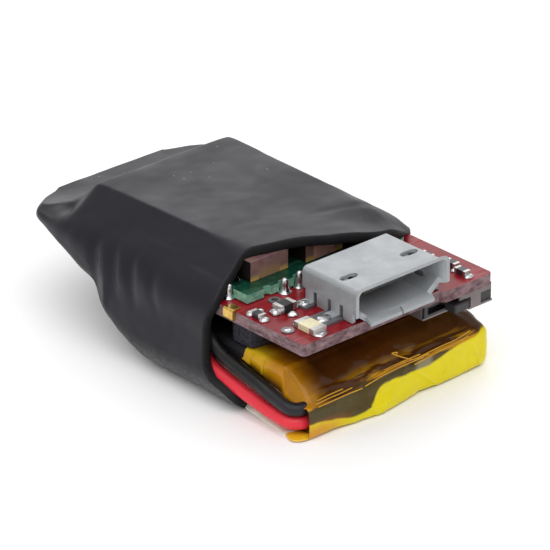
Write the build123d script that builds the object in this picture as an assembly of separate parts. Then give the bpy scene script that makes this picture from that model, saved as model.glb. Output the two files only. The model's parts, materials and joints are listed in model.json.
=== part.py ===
"""Small one-cell LiPo battery pack with a USB charging board, wrapped in heat-shrink tubing.

Millimetres, +Z up, +Y from the charging socket towards the closed tail, origin at the centre of the
footprint. A pouch cell lies at the bottom, with its protection board stood on edge at the front under
polyimide tape. A foam pad separates it from the charging board, which carries the socket, a plug-in
converter module and, on its underside, the power switch. Tubing holds everything together: it is open
at the front and pinched flat at the back.
"""

from build123d import *
import math
import os

# ---------------------------------------------------------------- driving dimensions
OVERALL_LENGTH = 28.6
OVERALL_HEIGHT = 9.65
SLEEVE_HALF_WIDTH = 9.1
SLEEVE_WALL = 0.4

BOARD_WIDTH = 16.0
BOARD_LENGTH = 21.2
BOARD_THICKNESS = 0.8
BOARD_BOTTOM = 6.1

CELL_WIDTH = 15.0
CELL_CENTRE_X = 0.3  # the cell sits to one side, which leaves room for the leads
CELL_LENGTH = 11.8
CELL_BOTTOM = 0.42
CELL_TOP = 4.0

SOCKET_WIDTH = 7.5
SOCKET_HEIGHT = 2.35
SOCKET_DEPTH = 4.8
SOCKET_SHEET = 0.25
SOCKET_FLARE = 0.5

WIRE_RADIUS = 0.45
CORE_RADIUS = 0.22

SWITCH_TRAVEL = 1.5

# ---------------------------------------------------------------- derived places
FRONT = -OVERALL_LENGTH / 2 + SOCKET_FLARE  # y of the charging board's front edge
BOARD_HALF = BOARD_WIDTH / 2
BOARD_TOP = BOARD_BOTTOM + BOARD_THICKNESS
BOARD_REAR = FRONT + BOARD_LENGTH

CELL_LEFT = CELL_CENTRE_X - CELL_WIDTH / 2
CELL_RIGHT = CELL_CENTRE_X + CELL_WIDTH / 2
CELL_FRONT = FRONT + 3.0
CELL_REAR = CELL_FRONT + CELL_LENGTH

SOCKET_BOTTOM = BOARD_TOP + 0.02
SOCKET_TOP = SOCKET_BOTTOM + SOCKET_HEIGHT
SOCKET_HALF = SOCKET_WIDTH / 2

MODULE_HALF = 6.8
MODULE_FRONT = FRONT + 6.6
MODULE_REAR = FRONT + 19.1
MODULE_BOTTOM = BOARD_TOP + 0.08
MODULE_TOP = MODULE_BOTTOM + 0.6

PROTECTION_FRONT = FRONT + 1.4
PROTECTION_REAR = FRONT + 2.0


def block(x, y, z):
    """A box between two values on each axis."""
    size = [b - a for a, b in (x, y, z)]
    centre = [(a + b) / 2 for a, b in (x, y, z)]
    return Pos(*centre) * Box(*size)


def rounded_block(x, y, z, radius, axis=Axis.Z):
    """A box with the four edges that run along one axis rounded."""
    solid = block(x, y, z)
    return fillet(solid.edges().filter_by(axis), radius)


def mirrored(shape):
    """The shape and its mirror image across the middle plane."""
    return [shape, mirror(shape, about=Plane.YZ)]


def profile_yz(points, x_low, x_high):
    """A closed outline of (y, z) points, extruded along X between two places."""
    outline = Polyline([Vector(x_low, y, z) for y, z in points], close=True)
    return extrude(make_face(outline), amount=x_high - x_low, dir=(1, 0, 0))


def profile_xz(points, y_low, y_high):
    """A closed outline of (x, z) points, extruded along Y between two places."""
    outline = Polyline([Vector(x, y_low, z) for x, z in points], close=True)
    return extrude(make_face(outline), amount=y_high - y_low, dir=(0, 1, 0))


# ---------------------------------------------------------------- heat-shrink sleeve
# Stations along the sleeve: distance behind the board's front edge, half width, bottom, height where
# the side turns into the shoulder, top, half width of the flat top, and bevel of the bottom corner.
SLEEVE_STATIONS = [
    (5.0, SLEEVE_HALF_WIDTH, 0.0, 7.0, OVERALL_HEIGHT, 5.3, 0.8),
    (14.9, SLEEVE_HALF_WIDTH, 0.0, 7.0, OVERALL_HEIGHT, 5.4, 0.8),
    (16.9, SLEEVE_HALF_WIDTH, 0.8, 7.0, OVERALL_HEIGHT, 5.45, 0.8),
    (18.6, 9.0, 2.5, 7.05, OVERALL_HEIGHT, 5.5, 0.8),
    (21.0, 8.8, 4.8, 7.15, OVERALL_HEIGHT, 5.6, 0.5),
    (22.4, 8.7, 5.4, 7.25, OVERALL_HEIGHT, 5.65, 0.5),
    (24.6, 8.4, 6.0, 6.95, 8.15, 6.2, 0.4),
    (26.2, 8.1, 6.35, 6.75, 7.2, 7.5, 0.2),
    (28.1, 4.8, 6.45, 6.8, 7.1, 4.6, 0.2),
]
CAVITY_STATIONS = 7  # the walls are welded together behind this many stations
RIM_LOW_SETBACK = 6.0  # the mouth is cut at a slant: its bottom lies further forward than its top
RIM_HIGH_SETBACK = 7.4


def sleeve_section(station, inset):
    """One cross-section of the tubing as a face, drawn in by the wall thickness for the cavity."""
    setback, half, low, shoulder, high, flat, bevel = station
    half -= inset
    low += inset
    high -= inset
    flat -= 0.55 * inset
    shoulder -= 0.25 * inset
    right = [(half - bevel, low), (half, low + bevel), (half, shoulder), (flat, high)]
    left = [(-x, z) for x, z in reversed(right)]
    corners = [Vector(x, FRONT + setback, z) for x, z in right + left]
    return make_face(Polyline(corners, close=True))


def heat_shrink_sleeve():
    """Tubing shrunk over the pack: open at the front, welded flat at the tail."""
    outer = loft([sleeve_section(s, 0.0) for s in SLEEVE_STATIONS], ruled=True)
    hollow = [sleeve_section(s, SLEEVE_WALL) for s in SLEEVE_STATIONS[:CAVITY_STATIONS]]
    tube = outer - loft(hollow, ruled=True)
    mouth = profile_yz(
        [
            (FRONT, -1.0),
            (FRONT + RIM_LOW_SETBACK, -1.0),
            (FRONT + RIM_LOW_SETBACK, 0.0),
            (FRONT + RIM_HIGH_SETBACK, OVERALL_HEIGHT),
            (FRONT + RIM_HIGH_SETBACK, OVERALL_HEIGHT + 1.0),
            (FRONT, OVERALL_HEIGHT + 1.0),
        ],
        -SLEEVE_HALF_WIDTH - 1.0,
        SLEEVE_HALF_WIDTH + 1.0,
    )
    return tube - mouth


# ---------------------------------------------------------------- pouch cell
POUCH_WALL = 0.15
SEAM_THICKNESS = 0.25
SEAM_BOTTOM = 1.0
SEAM_TOP = 2.6
TERRACE_LENGTH = 0.85
TERRACE_BOTTOM = CELL_BOTTOM + 0.05
TERRACE_TOP = CELL_BOTTOM + 0.55
TAB_CENTRES_X = (-3.8, 3.2)
TAB_WIDTH = 2.0
TAB_BOTTOM = 0.66
TAB_THICKNESS = 0.08
FILM_MARGIN = 0.4  # the sealing film stands out this far on each side of a tab
FILM_THICKNESS = 0.06


def film_block(centre_x, y_low, y_high):
    """The space a tab's sealing film takes, over its whole width."""
    half = TAB_WIDTH / 2 + FILM_MARGIN
    low = TAB_BOTTOM - FILM_THICKNESS
    high = TAB_BOTTOM + TAB_THICKNESS + FILM_THICKNESS
    return block((centre_x - half, centre_x + half), (y_low, y_high), (low, high))


def cell_pouch():
    """Drawn laminate pouch with a sealed terrace in front and its side seams folded up."""
    body = block((CELL_LEFT, CELL_RIGHT), (CELL_FRONT, CELL_REAR), (CELL_BOTTOM, CELL_TOP))
    body = fillet(body.edges().filter_by(Axis.Z), 0.7)
    body = fillet(body.edges().group_by(Axis.Z)[-1], 0.45)
    seam_z = (SEAM_BOTTOM, SEAM_TOP)
    seam_y = (CELL_FRONT + 0.5, CELL_REAR - 0.5)
    body += block((CELL_LEFT - SEAM_THICKNESS, CELL_LEFT + 0.1), seam_y, seam_z)
    body += block((CELL_RIGHT - 0.1, CELL_RIGHT + SEAM_THICKNESS), seam_y, seam_z)
    body += block(
        (CELL_LEFT + 0.3, CELL_RIGHT - 0.3),
        (CELL_FRONT - TERRACE_LENGTH, CELL_FRONT + 0.3),
        (TERRACE_BOTTOM, TERRACE_TOP),
    )
    body -= cell_cavity(0.0)
    for centre_x in TAB_CENTRES_X:
        body -= film_block(centre_x, CELL_FRONT - 1.0, CELL_FRONT + POUCH_WALL + 0.35)
    return body


def cell_cavity(clearance):
    """The room inside the pouch, less a clearance all round."""
    inset = POUCH_WALL + clearance
    room = block(
        (CELL_LEFT + inset, CELL_RIGHT - inset),
        (CELL_FRONT + 0.35 + inset, CELL_REAR - inset),
        (CELL_BOTTOM + inset, CELL_TOP - inset),
    )
    return fillet(room.edges().filter_by(Axis.Z), 0.5)


def electrode_stack():
    """The flat wound electrodes that fill the pouch."""
    return cell_cavity(0.05)


def cell_tab(centre_x):
    """A metal strip from the electrodes, out through the seal and up the back of the protection board."""
    rear = CELL_FRONT + 0.35 + POUCH_WALL + 0.05
    bend = PROTECTION_REAR + 0.02
    low = TAB_BOTTOM
    outline = [
        (rear, low),
        (bend, low),
        (bend, 2.4),
        (bend + TAB_THICKNESS, 2.4),
        (bend + TAB_THICKNESS, low + TAB_THICKNESS),
        (rear, low + TAB_THICKNESS),
    ]
    half = TAB_WIDTH / 2
    return profile_yz(outline, centre_x - half, centre_x + half)


def tab_sealing_films():
    """Films bonded round both tabs where they cross the seal."""
    films = []
    for centre_x in TAB_CENTRES_X:
        film = film_block(centre_x, CELL_FRONT - TERRACE_LENGTH - 0.04, CELL_FRONT + 0.45)
        films.append(film - cell_tab(centre_x))
    return films


# ---------------------------------------------------------------- protection board
PROTECTION_X = (-7.0, 6.9)
PROTECTION_Z = (0.55, 2.9)
PACKAGE_FRONT = PROTECTION_FRONT - 0.5


def protection_board():
    """Narrow circuit board stood on edge across the front of the cell."""
    y = (PROTECTION_FRONT, PROTECTION_REAR)
    return rounded_block(PROTECTION_X, y, PROTECTION_Z, 0.25, Axis.Y)


def protection_transistor():
    """Dual switching transistor on the front of the protection board."""
    return block((1.9, 4.1), (PACKAGE_FRONT, PROTECTION_FRONT), (1.2, 2.35))


def protection_controller():
    """Cell monitor in a small six-lead package."""
    return block((4.7, 5.9), (PACKAGE_FRONT + 0.1, PROTECTION_FRONT), (1.1, 2.1))


def protection_chips():
    """Resistors and a capacitor beside the monitor."""
    y = (PROTECTION_FRONT - 0.3, PROTECTION_FRONT)
    return [block((6.2, 6.6), y, (low, low + 0.7)) for low in (0.9, 1.9)]


# ---------------------------------------------------------------- polyimide tape
TAPE_THICKNESS = 0.08
TAPE_LEFT = -7.3
TAPE_RIGHT = 8.2
TAPE_SETBACKS = (0.2, 3.1, 5.6)  # front face, where it meets the cell's top, rear edge


def tape_outline(inset):
    """Side outline of the wrap: under the cell, up over the front, back along the top."""
    front, knee, rear = (FRONT + s for s in TAPE_SETBACKS)
    low, high = 0.05, CELL_TOP + 0.12
    return [
        (rear + 2 * inset, low + inset),
        (front + 0.25, low + inset),
        (front + inset, low + 0.3),
        (front + inset, 2.3),
        (front + 0.25, 2.57 - inset),
        (knee, high - inset),
        (rear + 2 * inset, high - inset),
    ]


def polyimide_tape():
    """Film wrapped over the protection board and the front of the cell, open on the lead side."""
    wrap = profile_yz(tape_outline(0.0), TAPE_LEFT, TAPE_RIGHT)
    inside = profile_yz(
        tape_outline(TAPE_THICKNESS), TAPE_LEFT - 1.0, TAPE_RIGHT - TAPE_THICKNESS
    )
    return wrap - inside


# ---------------------------------------------------------------- leads
def place(points):
    """Route points given as x, distance behind the board's front edge and z, in the part's frame."""
    return [Vector(x, FRONT + setback, z) for x, setback, z in points]


# From the protection board, round the front left corner, back beside the cell and up to the board.
RED_ROUTE = place(
    [
        (-3.9, 0.94, 0.9),
        (-5.9, 0.9, 0.92),
        (-7.95, 0.92, 0.95),
        (-7.95, 2.9, 1.05),
        (-8.0, 5.0, 1.42),
        (-8.02, 7.2, 1.85),
        (-8.05, 9.0, 2.35),
        (-7.75, 11.2, 4.3),
        (-6.3, 12.9, 5.35),
        (-4.7, 13.9, 5.6),
    ]
)
BLACK_ROUTE = place(
    [
        (0.1, 0.94, 1.1),
        (-1.8, 0.9, 1.55),
        (-3.7, 0.92, 1.9),
        (-5.9, 0.9, 1.92),
        (-7.93, 0.92, 1.87),
        (-7.93, 2.5, 2.1),
        (-7.93, 4.2, 2.6),
        (-7.93, 6.0, 2.98),
        (-7.95, 7.8, 3.4),
        (-7.85, 9.2, 4.3),
        (-6.9, 10.4, 5.1),
        (-4.9, 11.6, 5.6),
    ]
)
CORE_TAIL = 0.7  # bare strands stand out this far at both ends


def smooth_path(points):
    """Straight runs joined by the largest tangent arcs that the runs allow."""
    radii = []
    for before, corner, after in zip(points, points[1:], points[2:]):
        run_in, run_out = corner - before, after - corner
        turn = math.radians(run_in.get_angle(run_out))
        shorter = min(run_in.length, run_out.length)
        radii.append(0.45 * shorter / math.tan(turn / 2))
    print("bend radii", [round(r, 2) for r in radii])
    return FilletPolyline(points, radius=radii)


def round_section(path, radius, bore=0.0):
    """A disc, or a ring if it has a bore, square to the start of a path."""
    start = Plane(origin=path @ 0, z_dir=path % 0)
    disc = Circle(radius)
    if bore:
        disc -= Circle(bore)
    return start * disc


def lead_insulation(route):
    """Silicone jacket of one lead."""
    path = smooth_path(route)
    jacket = sweep(round_section(path, WIRE_RADIUS, CORE_RADIUS + 0.01), path=path)
    section = math.pi * (WIRE_RADIUS**2 - (CORE_RADIUS + 0.01) ** 2)
    print("jacket", round(jacket.volume, 2), "section times length", round(section * path.length, 2))
    return jacket


def lead_core(route):
    """Copper strands of one lead, bare at both ends."""
    first = route[0] + (route[0] - route[1]).normalized() * CORE_TAIL
    last = route[-1] + (route[-1] - route[-2]).normalized() * CORE_TAIL
    path = smooth_path([first] + route[1:-1] + [last])
    return sweep(round_section(path, CORE_RADIUS), path=path)


def solder_drop(x, y, z, radius, height):
    """A flattened drop of solder: a low cone with a rounded crown."""
    cone = Pos(x, y, z + height / 2) * Cone(radius, 0.45 * radius, height)
    return fillet(cone.edges().sort_by(Axis.Z)[-1], 0.15 * radius)


def protection_lead_solder(cores):
    """Solder that joins both leads to the front of the protection board."""
    drops = []
    for route in (RED_ROUTE, BLACK_ROUTE):
        end = route[0] + Vector(0.45, 0, 0)
        y = (FRONT + 0.62, PROTECTION_FRONT)
        drop = rounded_block(
            (end.X - 0.35, end.X + 0.45), y, (end.Z - 0.32, end.Z + 0.32), 0.15, Axis.Y
        )
        drops.append(drop)
    return [drop - core for drop, core in zip(drops, cores)]


def board_lead_solder(cores):
    """Solder that joins both leads to the underside of the charging board."""
    joints = []
    for route, core in zip((RED_ROUTE, BLACK_ROUTE), cores):
        end = route[-1] + (route[-1] - route[-2]).normalized() * 0.42
        drop = rounded_block(
            (end.X - 0.4, end.X + 0.4), (end.Y - 0.4, end.Y + 0.4), (5.4, BOARD_BOTTOM), 0.2
        )
        joints.append(drop - core)
    return joints


# ---------------------------------------------------------------- foam and charging board
def foam_pad():
    """Foam between the cell and the charging board, cut away on the side where the leads pass."""
    z = (CELL_TOP + 0.05, BOARD_BOTTOM - 0.05)
    pad = block((-3.2, CELL_RIGHT - 0.3), (FRONT + 5.7, CELL_REAR - 0.5), z)
    return pad + block((CELL_LEFT - 0.2, -3.1), (FRONT + 5.7, FRONT + 7.6), z)


VIA_SPOTS = [(0.65, 2.2), (13.7, 5.4), (2.9, 5.9)]  # from the front left corner
VIA_RADIUS = 0.22
FRONT_STEP = (3.7, 0.4)  # right of this x the board's front edge lies this much further forward


def charging_board():
    """Main circuit board, with plated holes."""
    z = (BOARD_BOTTOM, BOARD_TOP)
    board = rounded_block((-BOARD_HALF, BOARD_HALF), (FRONT, BOARD_REAR), z, 0.3)
    step_x, step_depth = FRONT_STEP
    board += rounded_block((step_x, BOARD_HALF), (FRONT - step_depth, FRONT + 2.0), z, 0.3)
    for x, y in VIA_SPOTS:
        board -= Pos(x - BOARD_HALF, FRONT + y, BOARD_TOP) * Cylinder(VIA_RADIUS, 4.0)
    return board


def plated_eyelets():
    """Tinned rims of the plated holes, each standing on the board."""
    rims = []
    for x, y in VIA_SPOTS:
        spot = Pos(x - BOARD_HALF, FRONT + y, BOARD_TOP + 0.04)
        rims.append(spot * (Cylinder(0.42, 0.08) - Cylinder(VIA_RADIUS, 0.2)))
    return rims


def edge_contact():
    """Gilt spring clip folded round the board's left edge."""
    x, y = (-BOARD_HALF - 0.28, -BOARD_HALF + 0.45), (FRONT + 6.35, FRONT + 7.25)
    clip = block(x, y, (BOARD_BOTTOM + 0.2, BOARD_TOP + 0.15))
    clip = fillet(clip.edges().filter_by(Axis.Y).group_by(Axis.X)[0], 0.14)
    return clip - block((-BOARD_HALF - 0.02, 0), (FRONT, 0), (BOARD_BOTTOM, BOARD_TOP))


# ---------------------------------------------------------------- charging socket
SHELL_CORNER = 0.35
SHELL_BEVEL = (0.95, 0.75)  # the lower corners of the mouth are cut off by this much
LATCH_CENTRES = ((-2.6, 1.75), (2.6, 1.75))
FOOT_SETBACKS = ((1.35, 2.15), (3.75, 4.5))


def shell_outline(grow):
    """Mouth outline of the socket, grown outwards by a distance, as a face facing the user."""
    half, low, high = SOCKET_HALF + grow, SOCKET_BOTTOM - grow, SOCKET_TOP + grow
    bevel_x, bevel_z = SHELL_BEVEL
    corners = [
        (half - bevel_x, low),
        (half, low + bevel_z),
        (half, high),
        (-half, high),
        (-half, low + bevel_z),
        (bevel_x - half, low),
    ]
    face = make_face(Polyline([Vector(x, FRONT, z) for x, z in corners], close=True))
    upper = face.vertices().group_by(Axis.Z)[-1]
    lower = face.vertices().group_by(Axis.Z)[:-1]
    face = fillet(upper, SHELL_CORNER + grow)
    lower = [v for v in face.vertices() if v.Z < SOCKET_TOP - SHELL_CORNER - 0.2]
    return fillet(lower, 0.3 + grow)


def socket_lip(y_reach):
    """Flared edge of the mouth: the tube's section swept outwards as it comes forward."""
    ring = []
    for grow in (0.0, -SOCKET_SHEET):
        near = shell_outline(grow)
        far = Pos(0, -y_reach, 0) * shell_outline(grow + 0.3)
        ring.append(loft([near, far]))
    return ring[0] - ring[1]


def side_skirt_cuts(setbacks):
    """Notches round one pair of solder feet, through both side walls."""
    y = (FRONT + setbacks[0] - 0.3, FRONT + setbacks[1] + 0.3)
    z = (SOCKET_BOTTOM - 1.0, SOCKET_BOTTOM + 0.95)
    return mirrored(block((SOCKET_HALF - 0.6, SOCKET_HALF + 0.5), y, z))


def solder_foot(setbacks):
    """One solder foot: a strip that drops from the side wall and turns outwards."""
    y = (FRONT + setbacks[0], FRONT + setbacks[1])
    inner = SOCKET_HALF - SOCKET_SHEET
    drop = block((inner, SOCKET_HALF), y, (SOCKET_BOTTOM + 0.03, SOCKET_BOTTOM + 1.0))
    foot = block((inner, SOCKET_HALF + 0.6), y, (SOCKET_BOTTOM + 0.03, SOCKET_BOTTOM + 0.23))
    return drop + foot


def socket_shell():
    """Stamped steel shell: a D-shaped tube with flared lips, latch windows and four solder feet."""
    tube = extrude(shell_outline(0.0), amount=SOCKET_DEPTH, dir=(0, 1, 0))
    tube -= extrude(shell_outline(-SOCKET_SHEET), amount=SOCKET_DEPTH, dir=(0, 1, 0))
    # Straight side skirts reach down to the board outside the bevelled lower corners.
    for skirt in mirrored(
        block(
            (SOCKET_HALF - SOCKET_SHEET, SOCKET_HALF),
            (FRONT + 0.15, FRONT + SOCKET_DEPTH - 0.2),
            (SOCKET_BOTTOM + 0.03, SOCKET_BOTTOM + 1.2),
        )
    ):
        tube += skirt
    for setbacks in FOOT_SETBACKS:
        for notch in side_skirt_cuts(setbacks):
            tube -= notch
        for foot in mirrored(solder_foot(setbacks)):
            tube += foot
    tube += socket_lip(SOCKET_FLARE)
    # The lips are separate flaps: gaps at the lower corners and one in the middle of the lower lip.
    low, mouth = (SOCKET_BOTTOM - 1.0, SOCKET_BOTTOM + 0.12), (FRONT - 1.0, FRONT - 0.06)
    tube -= block((-0.06, 0.06), mouth, low)
    for gap in mirrored(block((2.75, 4.6), mouth, (SOCKET_BOTTOM - 1.0, SOCKET_BOTTOM + 0.68))):
        tube -= gap
    for x, setback in LATCH_CENTRES:
        spot = Pos(x, FRONT + setback, SOCKET_TOP)
        window = Polyline(
            [(-0.7, -0.12), (-0.4, -0.3), (0.4, -0.3), (0.7, -0.12), (0.7, 0.12), (0.4, 0.3), (-0.4, 0.3), (-0.7, 0.12)],
            close=True,
        )
        tube -= spot * extrude(make_face(window), amount=0.6, both=True)
    rear = (FRONT + SOCKET_DEPTH - 0.75, FRONT + SOCKET_DEPTH + 1)
    tube -= block((-1.8, 1.8), rear, (SOCKET_BOTTOM - 0.1, SOCKET_BOTTOM + SOCKET_SHEET + 0.1))
    return tube


def socket_latches():
    """Spring tongues under the two latch windows."""
    tongues = []
    for x, setback in LATCH_CENTRES:
        y, high = FRONT + setback, SOCKET_TOP - SOCKET_SHEET - 0.01
        outline = [(y - 0.55, high), (y + 0.5, high), (y + 0.1, high - 0.3), (y - 0.1, high - 0.3)]
        tongues.append(profile_yz(outline, x - 0.14, x + 0.14))
    return tongues


CONTACT_PITCH = 0.65
CONTACT_HALF = 0.12
TONGUE_TOP = SOCKET_TOP - SOCKET_SHEET - 0.42
TONGUE_BOTTOM = TONGUE_TOP - 0.6


def socket_contacts():
    """Five contacts: under the tongue, down behind the insulator and out to the board."""
    back = FRONT + SOCKET_DEPTH
    low = SOCKET_BOTTOM
    contacts = []
    for index in range(5):
        x = (index - 2) * CONTACT_PITCH
        outline = [
            (FRONT + 1.3, TONGUE_BOTTOM),
            (back - 0.3, TONGUE_BOTTOM),
            (back - 0.3, low),
            (back + 0.55, low),
            (back + 0.55, low + 0.14),
            (back - 0.16, low + 0.14),
            (back - 0.16, TONGUE_BOTTOM + 0.14),
            (FRONT + 1.3, TONGUE_BOTTOM + 0.14),
        ]
        contacts.append(profile_yz(outline, x - CONTACT_HALF, x + CONTACT_HALF))
    return contacts


def socket_insulator():
    """Moulded carrier that plugs the back of the shell and holds the contact tongue."""
    inner = extrude(shell_outline(-SOCKET_SHEET - 0.02), amount=1.6, dir=(0, 1, 0))
    plug = Pos(0, SOCKET_DEPTH - 1.75, 0) * inner
    tongue = block((-1.85, 1.85), (FRONT + 1.2, FRONT + 3.4), (TONGUE_BOTTOM, TONGUE_TOP))
    body = plug + tongue
    for contact in socket_contacts():
        body -= contact
    return body


def socket_anchor_solder():
    """Pads of solder under and round the four feet of the shell."""
    pads = []
    for setbacks, margin, reach in zip(FOOT_SETBACKS, (0.4, 0.2), (1.65, 0.85)):
        y = (FRONT + setbacks[0] - margin, FRONT + setbacks[1] + margin)
        pad = block((SOCKET_HALF + 0.02, SOCKET_HALF + reach), y, (BOARD_TOP, BOARD_TOP + 0.16))
        pads += mirrored(pad - solder_foot(setbacks))
    return pads


# ---------------------------------------------------------------- chips on the charging board
def chip_body(centre, size, turned):
    """Ceramic body between the two caps of a chip. The long side lies along Y if it is turned."""
    length, width, height = size
    cap = 0.22 * length
    long, wide = length / 2 - cap, width / 2
    half_x, half_y = (wide, long) if turned else (long, wide)
    x, y, z = centre
    return block((x - half_x, x + half_x), (y - half_y, y + half_y), (z, z + height))


def chip_caps(centre, size, turned):
    """Both plated end caps of a chip."""
    length, width, height = size
    cap = 0.22 * length
    x, y, z = centre
    caps = []
    for side in (-1, 1):
        middle = side * (length - cap) / 2
        if turned:
            caps.append(
                block(
                    (x - width / 2, x + width / 2),
                    (y + middle - cap / 2, y + middle + cap / 2),
                    (z, z + height),
                )
            )
        else:
            caps.append(
                block(
                    (x + middle - cap / 2, x + middle + cap / 2),
                    (y - width / 2, y + width / 2),
                    (z, z + height),
                )
            )
    return caps


def on_board(x, y):
    """A place on the charging board's top, from its front left corner."""
    return (x - BOARD_HALF, FRONT + y, BOARD_TOP + 0.03)


def on_module(x, y):
    """A place on the converter module's top, from the charging board's front left corner."""
    return (x - BOARD_HALF, FRONT + y, MODULE_TOP + 0.03)


SIZE_0402 = (1.0, 0.5, 0.35)
SIZE_0603 = (1.5, 0.8, 0.45)
SIZE_0805 = (2.0, 1.25, 0.6)
SIZE_LAMP = (1.8, 1.1, 0.4)
SIZE_DIODE = (1.35, 0.8, 0.55)
SIZE_1206 = (3.2, 1.6, 1.37)

LED_PLACE = on_board(1.85, 1.45)
DIODE_PLACE = on_board(2.42, 4.45)
RESISTOR_PLACES = [on_board(0.55, 4.85), on_board(14.4, 0.75), on_board(14.7, 2.0), on_board(14.3, 3.9)]
CAPACITOR_PLACES = [
    on_module(4.15, 8.6),
    on_module(8.7, 8.4),
    on_module(4.9, 17.1),
    on_module(12.9, 16.0),
]
CAPACITOR_TURNED = (False, False, False, True)


def chip_terminals():
    """Tinned end caps of the diode, the resistors, the lamp and the capacitors."""
    caps = chip_caps(DIODE_PLACE, SIZE_DIODE, False) + chip_caps(LED_PLACE, SIZE_LAMP, True)
    for place_at in RESISTOR_PLACES:
        caps += chip_caps(place_at, SIZE_0402, True)
    for place_at, turned in zip(CAPACITOR_PLACES, CAPACITOR_TURNED):
        size = SIZE_0805 if turned else SIZE_1206
        caps += chip_caps(place_at, size, turned)
    return caps


def schottky_diode():
    """Black body of the chip diode."""
    return chip_body(DIODE_PLACE, SIZE_DIODE, False)


def status_lamp():
    """Cream body of the chip lamp that shows charging."""
    return chip_body(LED_PLACE, SIZE_LAMP, True)


def chip_resistors():
    """Ceramic bodies of the small resistors."""
    return [chip_body(p, SIZE_0402, True) for p in RESISTOR_PLACES]


def ceramic_capacitors():
    """Ceramic bodies of the tall capacitors on the module."""
    bodies = []
    for place_at, turned in zip(CAPACITOR_PLACES, CAPACITOR_TURNED):
        size = SIZE_0805 if turned else SIZE_1206
        bodies.append(chip_body(place_at, size, turned))
    return bodies


# ---------------------------------------------------------------- converter module
CASTELLATION_PITCH = 1.27
CASTELLATION_RADIUS = 0.3
CASTELLATION_COUNT = 9
SIDE_CASTELLATION_COUNT = 6


def castellation_spots():
    """Centres of the half holes along the module's front edge and both side edges."""
    first = -CASTELLATION_PITCH * (CASTELLATION_COUNT - 1) / 2
    spots = [(first + i * CASTELLATION_PITCH, MODULE_FRONT) for i in range(CASTELLATION_COUNT)]
    for i in range(SIDE_CASTELLATION_COUNT):
        y = MODULE_FRONT + 1.6 + i * 1.9
        spots += [(-MODULE_HALF, y), (MODULE_HALF, y)]
    return spots


def converter_board():
    """Small circuit board with half holes round its edge, soldered onto the charging board."""
    board = block(
        (-MODULE_HALF, MODULE_HALF), (MODULE_FRONT, MODULE_REAR), (MODULE_BOTTOM, MODULE_TOP)
    )
    for x, y in castellation_spots():
        board -= Pos(x, y, MODULE_TOP) * Cylinder(CASTELLATION_RADIUS, 4.0)
    return board


def module_edge_solder():
    """Upright drops of solder that fill the half holes and join the two boards."""
    joints = []
    for x, y in castellation_spots():
        outward_x = -0.12 if x == -MODULE_HALF else 0.12 if x == MODULE_HALF else 0.0
        outward_y = -0.14 if y == MODULE_FRONT else 0.0
        height = MODULE_TOP - BOARD_TOP + 0.3
        spot = Pos(x + outward_x, y + outward_y, BOARD_TOP + height / 2)
        post = spot * Cone(0.36, 0.2, height)
        outside = block(
            (-MODULE_HALF, MODULE_HALF), (MODULE_FRONT, MODULE_REAR), (MODULE_BOTTOM, MODULE_TOP + 1)
        )
        joints.append(post - outside)
    return joints


def inductor_core():
    """Square ferrite core of the power inductor."""
    x, y, z = on_module(5.6, 12.5)
    return rounded_block((x - 2, x + 2), (y - 2, y + 2), (z, z + 1.3), 0.5)


def converter_chip():
    """Switching converter in a flat square package."""
    x, y, z = on_module(10.4, 12.3)
    return block((x - 1.5, x + 1.5), (y - 1.5, y + 1.5), (z, z + 0.85))


def charger_chip():
    """Linear charger in a five-lead package."""
    x, y, z = on_module(9.3, 16.4)
    return block((x - 1.45, x + 1.45), (y - 0.8, y + 0.8), (z, z + 1.05))


def bridge_fuse():
    """Small gilt chip fuse at the module's front right corner."""
    x, y, z = on_module(12.5, 7.8)
    return rounded_block((x - 0.35, x + 0.35), (y - 0.55, y + 0.55), (z, z + 0.5), 0.1)


JUMPER_RADIUS = 0.1


def bare_jumper():
    """Bare tinned wire that bridges two pads behind the front capacitors."""
    route = place([(-6.0, 8.2, 7.75), (-5.7, 9.8, 8.4), (-1.2, 9.95, 8.45), (4.4, 9.9, 7.75)])
    path = FilletPolyline(route, radius=[0.5, 0.8])
    return sweep(round_section(path, JUMPER_RADIUS), path=path)


# ---------------------------------------------------------------- power switch
SWITCH_X = (2.9, 8.2)
SWITCH_Y = (FRONT - 0.1, FRONT + 2.7)
SWITCH_STEP = (6.1, 0.65)  # left of this x the front wall lies this much further back
SWITCH_Z = (4.92, BOARD_BOTTOM - 0.02)
SWITCH_SHEET = 0.12
POCKET_X = (3.2, 7.9)
POCKET_Y = (FRONT + 0.9, FRONT + 2.4)
POCKET_TOP = 5.75
KNOB_X = (4.65, 5.9)
KNOB_Z = (5.05, 5.62)
NECK_X = (4.8, 5.75)
NECK_Z = (5.15, 5.5)
CARRIAGE_X = (4.8, 7.75)
CONTACT_LINE_Y = FRONT + 1.65
TERMINAL_CENTRES_X = (4.0, 5.5, 7.0)


def switch_terminals():
    """Three fixed contacts under the board, each with a solder foot behind the switch."""
    rear = SWITCH_Y[1]
    strips = []
    for x in TERMINAL_CENTRES_X:
        outline = [
            (POCKET_Y[0] + 0.3, 5.8),
            (rear + 0.12, 5.8),
            (rear + 0.12, SWITCH_Z[1] - 0.1),
            (rear + 0.7, SWITCH_Z[1] - 0.1),
            (rear + 0.7, SWITCH_Z[1]),
            (rear + 0.01, SWITCH_Z[1]),
            (rear + 0.01, 5.9),
            (POCKET_Y[0] + 0.3, 5.9),
        ]
        strips.append(profile_yz(outline, x - 0.18, x + 0.18))
    return strips


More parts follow.
